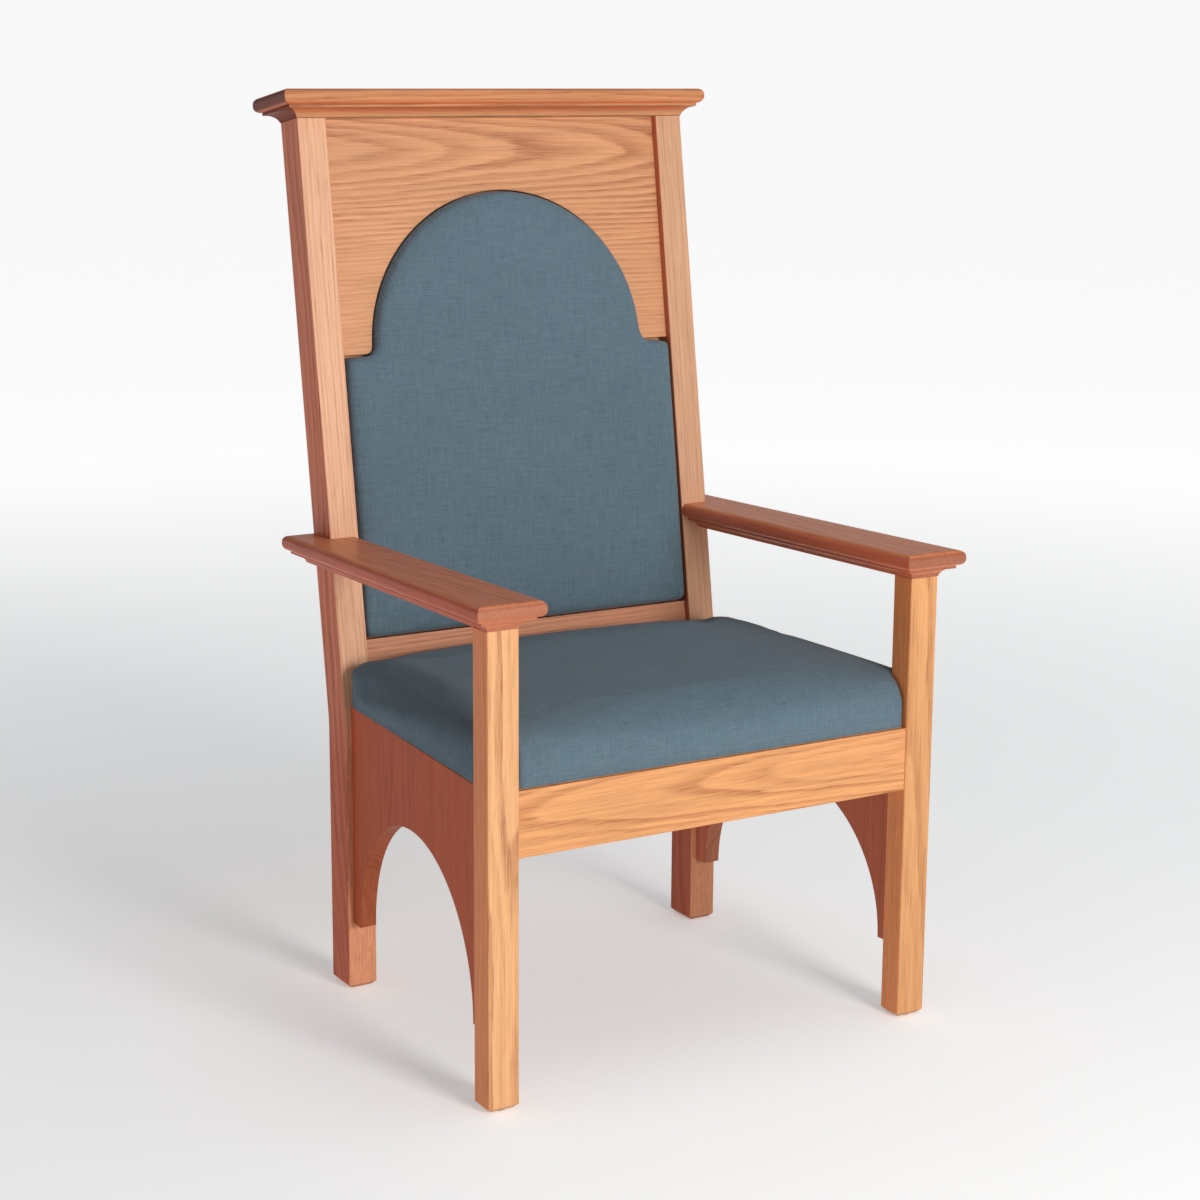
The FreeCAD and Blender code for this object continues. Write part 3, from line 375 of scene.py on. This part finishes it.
def centre_of(node):
    low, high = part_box(node)
    return tuple((low + high) / 2)


def turned(*turns):
    """Rotation of a board, whose own X is its width, Y its thickness and Z its length."""
    total = Matrix.Identity(3)
    for axis, angle in turns:
        total = total @ Matrix.Rotation(angle, 3, axis)
    return total


UPRIGHT = turned()
LEANING = turned(("X", -RAKE))
SIDEWAYS = turned(("Y", QUARTER))
ACROSS_BACK = turned(("X", -RAKE), ("Y", QUARTER))
PANEL = turned(("Z", QUARTER))
FORWARD = turned(("X", -QUARTER))
PAD_BOARD = turned(("X", QUARTER - RAKE))

OAK = (OAK_LIGHT, OAK_DARK, OAK_PORE)
HARDWOOD = (HARDWOOD_LIGHT, HARDWOOD_DARK, HARDWOOD_PORE)
HARDWOOD_RING = 0.004

# Each board: its node, its rotation, where the pith lies from its middle, the tilt of the grain, the width
# of a growth ring, its tone, which on the side panels and the left cove also holds painted shade, and its finish
OAK_BOARDS = (
    ("front_leg_left", UPRIGHT, (0.03, 0.11), 0.012, 0.0052, (0.94, 1.02, 1.04), LEFT_LEG),
    ("front_leg_right", UPRIGHT, (-0.02, 0.10), -0.014, 0.0056, (0.82, 0.83, 0.75), RIGHT_LEG),
    ("rear_post_left", LEANING, (0.19, 0.05), 0.004, 0.0050, (0.99, 1.14, 1.55), POST),
    ("rear_post_right", LEANING, (-0.19, 0.05), -0.004, 0.0052, (0.80, 0.91, 1.20), POST),
    # Painted shade: the side panels are toned redder and the left one darker, partly a darker board and partly the
    # shade on faces turned from the key light
    ("side_panel_left", PANEL, (0.04, -0.07), 0.030, 0.0060, (0.71, 0.30, 0.275), BASE_BOARD),
    ("side_panel_right", PANEL, (-0.03, 0.07), 0.026, 0.0060, (0.73, 0.42, 0.50), BASE_BOARD),
    ("front_rail", SIDEWAYS, (-0.008, 0.055), 0.034, 0.0044, (0.89, 0.85, 0.735), PLAIN),
    ("rear_seat_rail", SIDEWAYS, (0.01, 0.06), -0.030, 0.0055, (0.88, 0.78, 0.70), PLAIN),
    ("headboard_panel", ACROSS_BACK, (-0.105, 0.060), -0.050, 0.0060, (0.83, 0.82, 0.88), HEADBOARD),
    ("back_rail", ACROSS_BACK, (0.06, 0.05), 0.012, 0.0050, (0.83, 0.76, 0.95), PLAIN),
    ("back_panel", LEANING, (0.06, -0.07), 0.028, 0.0064, (0.84, 0.76, 0.70), PLAIN),
    ("arm_left", FORWARD, (0.05, 0.07), 0.025, 0.0052, (0.92, 0.59, 0.56), LEFT_ARM),
    ("arm_right", FORWARD, (-0.04, 0.07), -0.022, 0.0054, (0.99, 0.62, 0.52), RIGHT_ARM),
    ("cornice_cap", ACROSS_BACK, (0.07, 0.05), 0.010, 0.0050, (0.77, 0.655, 0.64), CAP),
    ("cornice_cove_front", ACROSS_BACK, (0.05, 0.08), 0.008, 0.0046, (0.74, 0.70, 0.73), COVE),
    ("cornice_cove_rear", ACROSS_BACK, (0.06, -0.08), 0.008, 0.0046, (0.74, 0.70, 0.73), COVE),
    # Painted shade: the left cove faces away from the key light and is toned far darker than the right one
    ("cornice_cove_left", FORWARD, (0.07, 0.04), 0.010, 0.0046, (0.32, 0.15, 0.15), COVE),
    ("cornice_cove_right", FORWARD, (-0.07, 0.04), 0.010, 0.0046, (0.60, 0.46, 0.40), COVE),
    ("back_screw_plugs", SIDEWAYS, (0.05, 0.09), 0.010, 0.0050, (0.82, 0.74, 0.68), PLAIN),
)
HARDWOOD_PIECES = (
    ("corner_blocks", SIDEWAYS, (0.04, 0.09), 0.02),
    ("arm_dowels", UPRIGHT, (0.05, 0.08), 0.0),
    ("cornice_cap_dowels", LEANING, (0.05, 0.08), 0.0),
    ("cornice_nailing_strips", ACROSS_BACK, (0.05, 0.08), 0.01),
)


def dress(node, material):
    mesh = nodes[node].data
    mesh.materials.clear()
    mesh.materials.append(material)


for index, (node, turn, pith, tilt, ring, tone_and_shade, finish) in enumerate(OAK_BOARDS):
    seed = 3.7 * index
    dress(node, wood("oak_" + node, centre_of(node), turn, pith, tilt, ring, seed, tone_and_shade, finish, OAK))
for index, (node, turn, pith, tilt) in enumerate(HARDWOOD_PIECES):
    seed = 90.0 + 2.3 * index
    dress(node, wood("hardwood_" + node, centre_of(node), turn, pith, tilt, HARDWOOD_RING, seed, WHITE, BARE,
                     HARDWOOD))
dress("seat_board", plywood("seat_plywood", UPRIGHT, 4.0))
dress("back_pad_board", plywood("back_plywood", PAD_BOARD, 8.0))
for index, node in enumerate(("arm_screws", "corner_block_screws", "seat_screws", "back_screws")):
    dress(node, zinc("zinc_" + node, 5.0 * index))
dress("floor_glides", nylon("glide_nylon", 2.0))
for index, node in enumerate(("seat_foam", "back_pad_foam")):
    dress(node, foam_block("foam_" + node, 3.0 * index))


# Soft pieces: the size of their faces, how near a point is to be the same point or at the hem, the thickness of
# the cloth and the room round a board, in metres
VOXEL = 0.005
WELD = 0.00002
AT_HEM = 0.0005
CLOTH_THICKNESS = 0.0012
BOARD_ROOM = 0.0003

# The cloth simulation, and how far it is smoothed afterwards
CLOTH_FRAMES = 20
CLOTH_QUALITY = 6
CLOTH_MASS = 0.3
CLOTH_BENDING = 2.0
RELAX_ROUNDS = 4
RELAX_SHARE = 0.5

# How nearly a face has to look towards the hem to be hidden, and how sharp an edge has to be to show as a crease
HEM_FACING = 0.35
CREASE = math.radians(50)

# How far a piece reaches past its cover: at the hem, across it and on the side away from it
Fit = namedtuple("Fit", "drop spread swell")
# What blows the cloth up, the farthest that a point may move and how stiff the cloth is
Stuffing = namedtuple("Stuffing", "pressure cap stiffness")


def placed(name, data):
    """A new object in the scene."""
    thing = bpy.data.objects.new(name, data)
    scene.collection.objects.link(thing)
    return thing


def box_in(node, turn):
    """Lowest and highest corner of a node in the frame given by turn."""
    places = [turn @ vertex.co for vertex in nodes[node].data.vertices]
    low, high = ([pick(place[axis] for place in places) for axis in range(3)] for pick in (min, max))
    return Vector(low), Vector(high)


def fitted_copy(name, filling, cover, turn, hem, fit):
    """A filling's mesh as a new piece, stretched to the size of its cover and down to the cover's hem.

    The hem is on the side of the axis that hem names: (axis, direction).
    """
    old_low, old_high = box_in(filling, turn)
    new_low, new_high = box_in(cover, turn)
    axis, way = hem
    wider = Vector([0.0 if index == axis else fit.spread for index in range(3)])
    new_low, new_high = new_low - wider, new_high + wider
    old_hem, new_hem = (old_low[axis], new_low[axis]) if way < 0 else (old_high[axis], new_high[axis])
    old_far, new_far = (old_high[axis], new_high[axis]) if way < 0 else (old_low[axis], new_low[axis])
    grown = bmesh.new()
    grown.from_mesh(nodes[filling].data)
    bmesh.ops.remove_doubles(grown, verts=grown.verts, dist=WELD)
    bmesh.ops.transform(grown, matrix=turn, verts=grown.verts)
    for vertex in grown.verts:
        for index in range(3):
            if index != axis:
                share = (vertex.co[index] - old_low[index]) / (old_high[index] - old_low[index])
                vertex.co[index] = new_low[index] + share * (new_high[index] - new_low[index])
        if abs(vertex.co[axis] - old_hem) < AT_HEM:
            vertex.co[axis] = new_hem + way * fit.drop
        else:
            vertex.co[axis] += new_far - old_far - way * fit.swell
    mesh = bpy.data.meshes.new(name)
    grown.to_mesh(mesh)
    grown.free()
    return placed(name, mesh)


def settle(piece):
    """Turn a piece's modifiers into its mesh."""
    bpy.context.view_layer.update()
    graph = bpy.context.evaluated_depsgraph_get()
    mesh = bpy.data.meshes.new_from_object(piece.evaluated_get(graph))
    piece.modifiers.clear()
    piece.data = mesh


def remeshed(piece):
    modifier = piece.modifiers.new("remesh", "REMESH")
    modifier.mode = "VOXEL"
    modifier.voxel_size = VOXEL
    settle(piece)


def inflate(piece, held, stuffing):
    """Blow the cloth up a little from its start, holding the points that are tacked down."""
    start = [vertex.co.copy() for vertex in piece.data.vertices]
    group = piece.vertex_groups.new(name="held")
    for index, place in enumerate(start):
        weight = held(place)
        if weight > 0.0:
            group.add([index], weight, "REPLACE")
    cloth = piece.modifiers.new("cloth", "CLOTH")
    settings = cloth.settings
    settings.quality = CLOTH_QUALITY
    settings.mass = CLOTH_MASS
    settings.tension_stiffness = stuffing.stiffness
    settings.compression_stiffness = stuffing.stiffness
    settings.shear_stiffness = stuffing.stiffness / 2
    settings.bending_stiffness = CLOTH_BENDING
    settings.use_pressure = True
    settings.uniform_pressure_force = stuffing.pressure
    settings.vertex_group_mass = "held"
    settings.effector_weights.gravity = 0.0
    cloth.point_cache.frame_start = 1
    cloth.point_cache.frame_end = CLOTH_FRAMES
    for step in range(1, CLOTH_FRAMES + 1):
        scene.frame_set(step)
    settle(piece)
    scene.frame_set(1)
    for vertex, place in zip(piece.data.vertices, start):
        move = vertex.co - place
        if move.length > stuffing.cap:
            vertex.co = place + move * (stuffing.cap / move.length)


def relaxed(piece, held):
    """Ease out creases away from the tacked points."""
    grown = bmesh.new()
    grown.from_mesh(piece.data)
    free = [vertex for vertex in grown.verts if held(vertex.co) == 0.0]
    for _ in range(RELAX_ROUNDS):
        bmesh.ops.smooth_vert(grown, verts=free, factor=RELAX_SHARE,
                              use_axis_x=True, use_axis_y=True, use_axis_z=True)
    grown.to_mesh(piece.data)
    grown.free()


def turned_in(grown, rim, shift):
    """Extrude a rim by what shift says for each of its points, and return the new rim."""
    before = {vertex for edge in rim for vertex in edge.verts}
    made = bmesh.ops.extrude_edge_only(grown, edges=rim)["geom"]
    for vertex in (item for item in made if isinstance(item, bmesh.types.BMVert)):
        others = (edge.other_vert(vertex) for edge in vertex.link_edges)
        vertex.co = shift(next(other for other in others if other in before))
    return [item for item in made if isinstance(item, bmesh.types.BMEdge) and item.is_boundary]


def tucked(piece, hem, ceiling):
    """Open the hidden side and line it, so that the board inside has its room."""
    axis, way = hem
    grown = bmesh.new()
    grown.from_mesh(piece.data)
    level = max(vertex.co[axis] * way for vertex in grown.verts)
    hidden = [face for face in grown.faces
              if face.normal[axis] * way > HEM_FACING and level - face.calc_center_median()[axis] * way < VOXEL]
    bmesh.ops.delete(grown, geom=hidden, context="FACES")
    hanging = [vertex for vertex in grown.verts if vertex.is_boundary]
    for vertex in hanging:
        vertex.co[axis] = level * way
    flattened = [face for face in grown.faces if all(vertex.is_boundary for vertex in face.verts)]
    bmesh.ops.delete(grown, geom=flattened, context="FACES")
    grown.normal_update()
    rim = [edge for edge in grown.edges if edge.is_boundary]

    def inward(vertex):
        side = vertex.normal.copy()
        side[axis] = 0.0
        return vertex.co - side.normalized() * CLOTH_THICKNESS

    def upward(vertex):
        place = vertex.co.copy()
        place[axis] = ceiling
        return place

    rim = turned_in(grown, turned_in(grown, rim, inward), upward)
    bmesh.ops.holes_fill(grown, edges=rim, sides=0)
    wide = [face for face in grown.faces if len(face.verts) > 4]
    bmesh.ops.triangulate(grown, faces=wide)
    bmesh.ops.recalc_face_normals(grown, faces=grown.faces)
    for face in grown.faces:
        face.smooth = True
    for edge in grown.edges:
        edge.smooth = len(edge.link_faces) == 2 and edge.calc_face_angle() < CREASE
    grown.to_mesh(piece.data)
    grown.free()


def lay_threads(piece, lines):
    """Give each point its place on the cloth, from its position and normal."""
    attribute = piece.data.attributes.new("thread", "FLOAT_VECTOR", "POINT")
    for vertex, item in zip(piece.data.vertices, attribute.data):
        item.vector = lines(vertex.co, vertex.normal)


def soft_piece(name, filling, cover, turn, hem, fit, ceiling, held, lines, stuffing):
    """A cushion in place of a cover and its filling, made in the frame given by turn."""
    piece = fitted_copy(name, filling, cover, turn, hem, fit)
    remeshed(piece)
    inflate(piece, held, stuffing)
    relaxed(piece, held)
    modifier = piece.modifiers.new("subdivision", "SUBSURF")
    modifier.levels = 1
    modifier.render_levels = 1
    settle(piece)
    tucked(piece, hem, ceiling)
    lay_threads(piece, lines)
    piece.data.transform(turn.inverted())
    piece.data.materials.clear()
    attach(piece, "root")
    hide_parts(cover, filling)
    return piece


def near(distance, close, far):
    """1 within close, 0 beyond far, and a straight slope between."""
    return min(1.0, max(0.0, (far - distance) / (far - close)))


# The seat cushion, tacked round its board and drawn close to the legs
SEAT_HEM = (2, -1)
SEAT_FIT = Fit(drop=-0.0004, spread=0.0, swell=0.0)
SEAT_STUFFING = Stuffing(pressure=4.0, cap=0.006, stiffness=30.0)
seat_low, seat_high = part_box("seat_cover")
leg_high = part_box("front_leg_left")[1]
board_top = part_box("seat_board")[1].z

# Where the rounding of a rear corner has its centre, its radius, how much wider the rear end is and how much lower
# the tip of a corner
SEAT_CORNER = Vector((0.2756, 0.1181))
CORNER_RADIUS = 0.022
REAR_FULLNESS = 0.0025
CORNER_DROP = 0.003


def seat_held(place):
    hem = near(place.z - seat_low.z, 0.002, 0.010)
    rear = 0.6 * near(seat_high.y - place.y, 0.003, 0.010)
    leg = near(max(-leg_high.x - abs(place.x), place.y - leg_high.y), 0.004, 0.012)
    return max(hem, rear, leg)


def seat_lines(place, normal):
    drop = seat_high.z - place.z
    side, front = abs(normal.x), abs(normal.y)
    total = side + front + 0.0001
    sign = 1.0 if place.x > 0.0 else -1.0
    return place.x + sign * drop * side / total, place.y - drop * front / total, 0.0


def square_corners(piece):
    """Fill out the rear end and its two corners, as a boxed cushion has them."""
    for vertex in piece.data.vertices:
        behind = near(seat_high.y - vertex.co.y, 0.0, 0.25)
        outside = near(SEAT_CORNER.x - abs(vertex.co.x), 0.0, 0.08)
        vertex.co.x += math.copysign(REAR_FULLNESS * behind * outside, vertex.co.x)
        tip = Vector((abs(vertex.co.x) - CORNER_RADIUS, vertex.co.y - CORNER_RADIUS)) - SEAT_CORNER
        high = near(seat_high.z - vertex.co.z, 0.02, 0.06)
        vertex.co.z -= CORNER_DROP * near(tip.length, 0.01, 0.09) * high
        away = Vector((abs(vertex.co.x), vertex.co.y)) - SEAT_CORNER
        if min(away) > 0.0:
            rounder = (away.x ** 4 + away.y ** 4) ** 0.25
            share = min(1.0, away.length / CORNER_RADIUS) ** 2
            away *= 1.0 + (away.length / rounder - 1.0) * share
            place = SEAT_CORNER + away
            vertex.co.x = math.copysign(place.x, vertex.co.x)
            vertex.co.y = place.y


seat_cushion = soft_piece("seat_cushion", "seat_foam", "seat_cover", Matrix.Identity(4), SEAT_HEM, SEAT_FIT,
                          board_top + BOARD_ROOM, seat_held, seat_lines, SEAT_STUFFING)
square_corners(seat_cushion)
seat_cushion.data.materials.append(woven("seat_upholstery", 21.0))

# The back pad, stretched over its board in the arched recess
UPRIGHT_BACK = Matrix.Rotation(RAKE, 4, "X")
PAD_HEM = (1, 1)
PAD_FIT = Fit(drop=-0.0003, spread=0.0008, swell=0.004)
PAD_STUFFING = Stuffing(pressure=3.0, cap=0.003, stiffness=30.0)
head_front = box_in("headboard_panel", UPRIGHT_BACK)[0].y
pad_board_front = box_in("back_pad_board", UPRIGHT_BACK)[0].y


def pad_held(place):
    return near(head_front - place.y, 0.0, 0.004)


def pad_lines(place, normal):
    return place.x, place.z, 0.0


back_pad = soft_piece("back_pad", "back_pad_foam", "back_pad_cover", UPRIGHT_BACK, PAD_HEM, PAD_FIT,
                      pad_board_front - BOARD_ROOM, pad_held, pad_lines, PAD_STUFFING)
back_pad.data.materials.append(woven("pad_upholstery", 47.0))

# The dust cloth under the seat: its level, sag, thickness and grid, and how strongly it puckers
DUST_LEVEL = 0.40455
DUST_SAG = 0.004
DUST_CLOTH = 0.0005
DUST_COLUMNS = 56
DUST_ROWS = 44
DUST_PUCKER = 0.12

# Its staples: their distance, how far in from the edge they are, half their width, half the thickness of the wire,
# and how far the crown lies below the cloth and the legs end above it
STAPLE_STEP = 0.055
STAPLE_INSET = 0.009
STAPLE_HALF = 0.0045
STAPLE_WIRE = 0.0005
STAPLE_BELOW = 0.0007
STAPLE_ABOVE = 0.0001


def dust_edges():
    """Half widths of the dust cover in front and behind, and where these ends are."""
    low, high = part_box("seat_dust_cover")
    places = [vertex.co for vertex in nodes["seat_dust_cover"].data.vertices]
    wide = max(place.x for place in places if place.y < low.y + 0.001)
    narrow = max(place.x for place in places if place.y > high.y - 0.001)
    return wide, narrow, low.y, high.y


def dust_mesh(wide, narrow, front, back):
    """A grid over the opening, slack in the middle and slightly puckered."""
    grown = bmesh.new()
    lines = []
    for row in range(DUST_ROWS + 1):
        v = row / DUST_ROWS
        half = wide + (narrow - wide) * v
        line = []
        for column in range(DUST_COLUMNS + 1):
            u = column / DUST_COLUMNS
            slack = (16.0 * u * (1.0 - u) * v * (1.0 - v)) ** 1.5
            pucker = DUST_PUCKER * math.sin(9.0 * u + 2.0 * v) * math.sin(7.0 * v + 1.0)
            level = DUST_LEVEL - DUST_SAG * slack * (1.0 + pucker)
            line.append(grown.verts.new((half * (2.0 * u - 1.0), front + (back - front) * v, level)))
        lines.append(line)
    for lower, upper in zip(lines, lines[1:]):
        for index in range(DUST_COLUMNS):
            grown.faces.new((lower[index], lower[index + 1], upper[index + 1], upper[index]))
    for face in grown.faces:
        face.smooth = True
    mesh = bpy.data.meshes.new("dust_sheet")
    grown.to_mesh(mesh)
    grown.free()
    return mesh


def dust_sheet():
    """Cloth that closes the seat from below, tacked round its edge and a little slack in the middle."""
    wide, narrow, front, back = dust_edges()
    sheet = placed("dust_sheet", dust_mesh(wide, narrow, front, back))
    shell = sheet.modifiers.new("thickness", "SOLIDIFY")
    shell.thickness = DUST_CLOTH
    shell.offset = 0.0
    settle(sheet)
    sheet.data.materials.append(felt("dust_cloth_felt", 1.0))
    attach(sheet, "root")
    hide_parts("seat_dust_cover")


def staple_places():
    """Middle and direction of each staple, clear of the corner blocks."""
    wide, narrow, front, back = dust_edges()
    lean = (wide - narrow) / (back - front)
    for index in range(-3, 4):
        yield Vector((index * STAPLE_STEP, front + STAPLE_INSET)), Vector((1.0, 0.0))
        yield Vector((index * STAPLE_STEP, back - STAPLE_INSET)), Vector((1.0, 0.0))
    for index in range(-2, 3):
        y = (front + back) / 2 + index * STAPLE_STEP
        x = wide - lean * (y - front) - STAPLE_INSET
        yield Vector((x, y)), Vector((-lean, 1.0)).normalized()
        yield Vector((-x, y)), Vector((lean, 1.0)).normalized()


def dust_staples():
    """Wire staples through the edge of the dust cloth."""
    curve = bpy.data.curves.new("dust_staples", "CURVE")
    curve.dimensions = "3D"
    curve.bevel_depth = STAPLE_WIRE
    curve.bevel_resolution = 2
    curve.use_fill_caps = True
    crown, leg = DUST_LEVEL - STAPLE_BELOW, DUST_LEVEL + STAPLE_ABOVE
    for middle, way in staple_places():
        ends = [middle - way * STAPLE_HALF, middle + way * STAPLE_HALF]
        path = [(*ends[0], leg), (*ends[0], crown), (*ends[1], crown), (*ends[1], leg)]
        spline = curve.splines.new("POLY")
        spline.points.add(len(path) - 1)
        for point, place in zip(spline.points, path):
            point.co = (*place, 1.0)
    source = placed("dust_staple_lines", curve)
    bpy.context.view_layer.update()
    mesh = bpy.data.meshes.new_from_object(source.evaluated_get(bpy.context.evaluated_depsgraph_get()))
    bpy.data.objects.remove(source)
    staples = placed("dust_staples", mesh)
    mesh.materials.clear()
    mesh.materials.append(zinc("zinc_staples", 31.0))
    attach(staples, "root")


dust_sheet()
dust_staples()

# The studio: how bright the background is, the floor's half width, its own glow, and what the floor shows by its
# glow and the lights
BACKDROP = 0.94
FLOOR_HALF = 150.0
FLOOR_GLOW = 0.34
FLOOR_SHOWN = 0.53
HORIZON = (0.55, 0.545, 0.54)
ZENITH = (0.20, 0.20, 0.205)
KEY_COLOUR = (1.0, 0.97, 0.93)
TOP_COLOUR = (0.72, 0.90, 1.0)

# The photograph's camera: its place, the way it looks in radians, its focal length in pixels of the photograph,
# the photograph's width and the width of a sensor in millimetres
CAMERA_PLACE = (-1.67133, -2.8006, 1.25671)
YAW = 0.54163
PITCH = -0.21421
ROLL = 0.00663
FOCAL_LENGTH = 2475.87
PHOTO_WIDTH = 1200.0
SENSOR_WIDTH = 36.0


def seen_in(g):
    """1 for the rays that show the background itself: from the camera, by reflection or through glass."""
    path = g.add("ShaderNodeLightPath").outputs
    direct = g.math("MAXIMUM", path["Is Camera Ray"], path["Is Glossy Ray"])
    return g.math("MAXIMUM", direct, path["Is Transmission Ray"])


def studio_floor():
    mesh = bpy.data.meshes.new("floor")
    corners = [(x * FLOOR_HALF, y * FLOOR_HALF, 0.0) for x, y in ((-1, -1), (1, -1), (1, 1), (-1, 1))]
    mesh.from_pydata(corners, [], [(0, 1, 2, 3)])
    floor = placed("floor", mesh)
    g = Surface("floor_paper", PAPER_MAIN)
    place = g.object_place()
    colour = g.mix(g.noise(place, (3.0, 3.0, 3.0), 2.0)["Fac"], PAPER_MAIN, PAPER_LIGHT)
    far = g.step(g.length(place), 0.5, 5.0, 0.0, BACKDROP - FLOOR_SHOWN)
    glow = g.math("ADD", g.math("MULTIPLY", far, seen_in(g)), FLOOR_GLOW)
    mesh.materials.append(g.finish(Base_Color=colour, Roughness=0.9, Specular_IOR_Level=0.1,
                                   Emission_Color=WHITE, Emission_Strength=glow))


def soft_light(name, place, target, size, power, colour):
    data = bpy.data.lights.new(name, "AREA")
    data.shape = "DISK"
    data.size = size
    data.energy = power
    data.color = colour
    light = placed(name, data)
    light.location = place
    light.rotation_euler = (Vector(target) - Vector(place)).to_track_quat("-Z", "Y").to_euler()


def studio_light():
    world = bpy.data.worlds.new("studio")
    world.use_nodes = True
    g = Graph(world.node_tree)
    height = g.split(g.add("ShaderNodeTexCoord").outputs["Generated"])[2]
    horizon = g.mix(seen_in(g), HORIZON, (BACKDROP, BACKDROP, BACKDROP))
    fade = g.add("ShaderNodeMapRange", {"Value": height, "From Min": 0.03, "From Max": 0.22}).outputs[0]
    g.feed(g.tree.nodes["Background"].inputs["Color"], g.mix(fade, horizon, ZENITH))
    scene.world = world
    soft_light("key", (0.5, -4.4, 1.6), (0.0, 0.0, 0.6), 1.5, 140.0, KEY_COLOUR)
    soft_light("top", (0.6, -0.6, 3.6), (0.0, 0.2, 0.3), 2.4, 18.5, TOP_COLOUR)


def studio_camera():
    ahead = Vector((math.sin(YAW), math.cos(YAW), 0.0))
    right = Vector((math.cos(YAW), -math.sin(YAW), 0.0))
    up = Vector((0.0, 0.0, 1.0))
    look = ahead * math.cos(PITCH) + up * math.sin(PITCH)
    rise = up * math.cos(PITCH) - ahead * math.sin(PITCH)
    side = right * math.cos(ROLL) + rise * math.sin(ROLL)
    rise = rise * math.cos(ROLL) - right * math.sin(ROLL)
    data = bpy.data.cameras.new("camera")
    data.sensor_fit = "HORIZONTAL"
    data.sensor_width = SENSOR_WIDTH
    data.lens = SENSOR_WIDTH * FOCAL_LENGTH / PHOTO_WIDTH
    camera = placed("camera", data)
    facing = Matrix((side, rise, -look)).transposed().to_4x4()
    camera.matrix_world = Matrix.Translation(CAMERA_PLACE) @ facing
    scene.camera = camera


studio_floor()
studio_light()
studio_camera()
scene.view_settings.view_transform = "Standard"
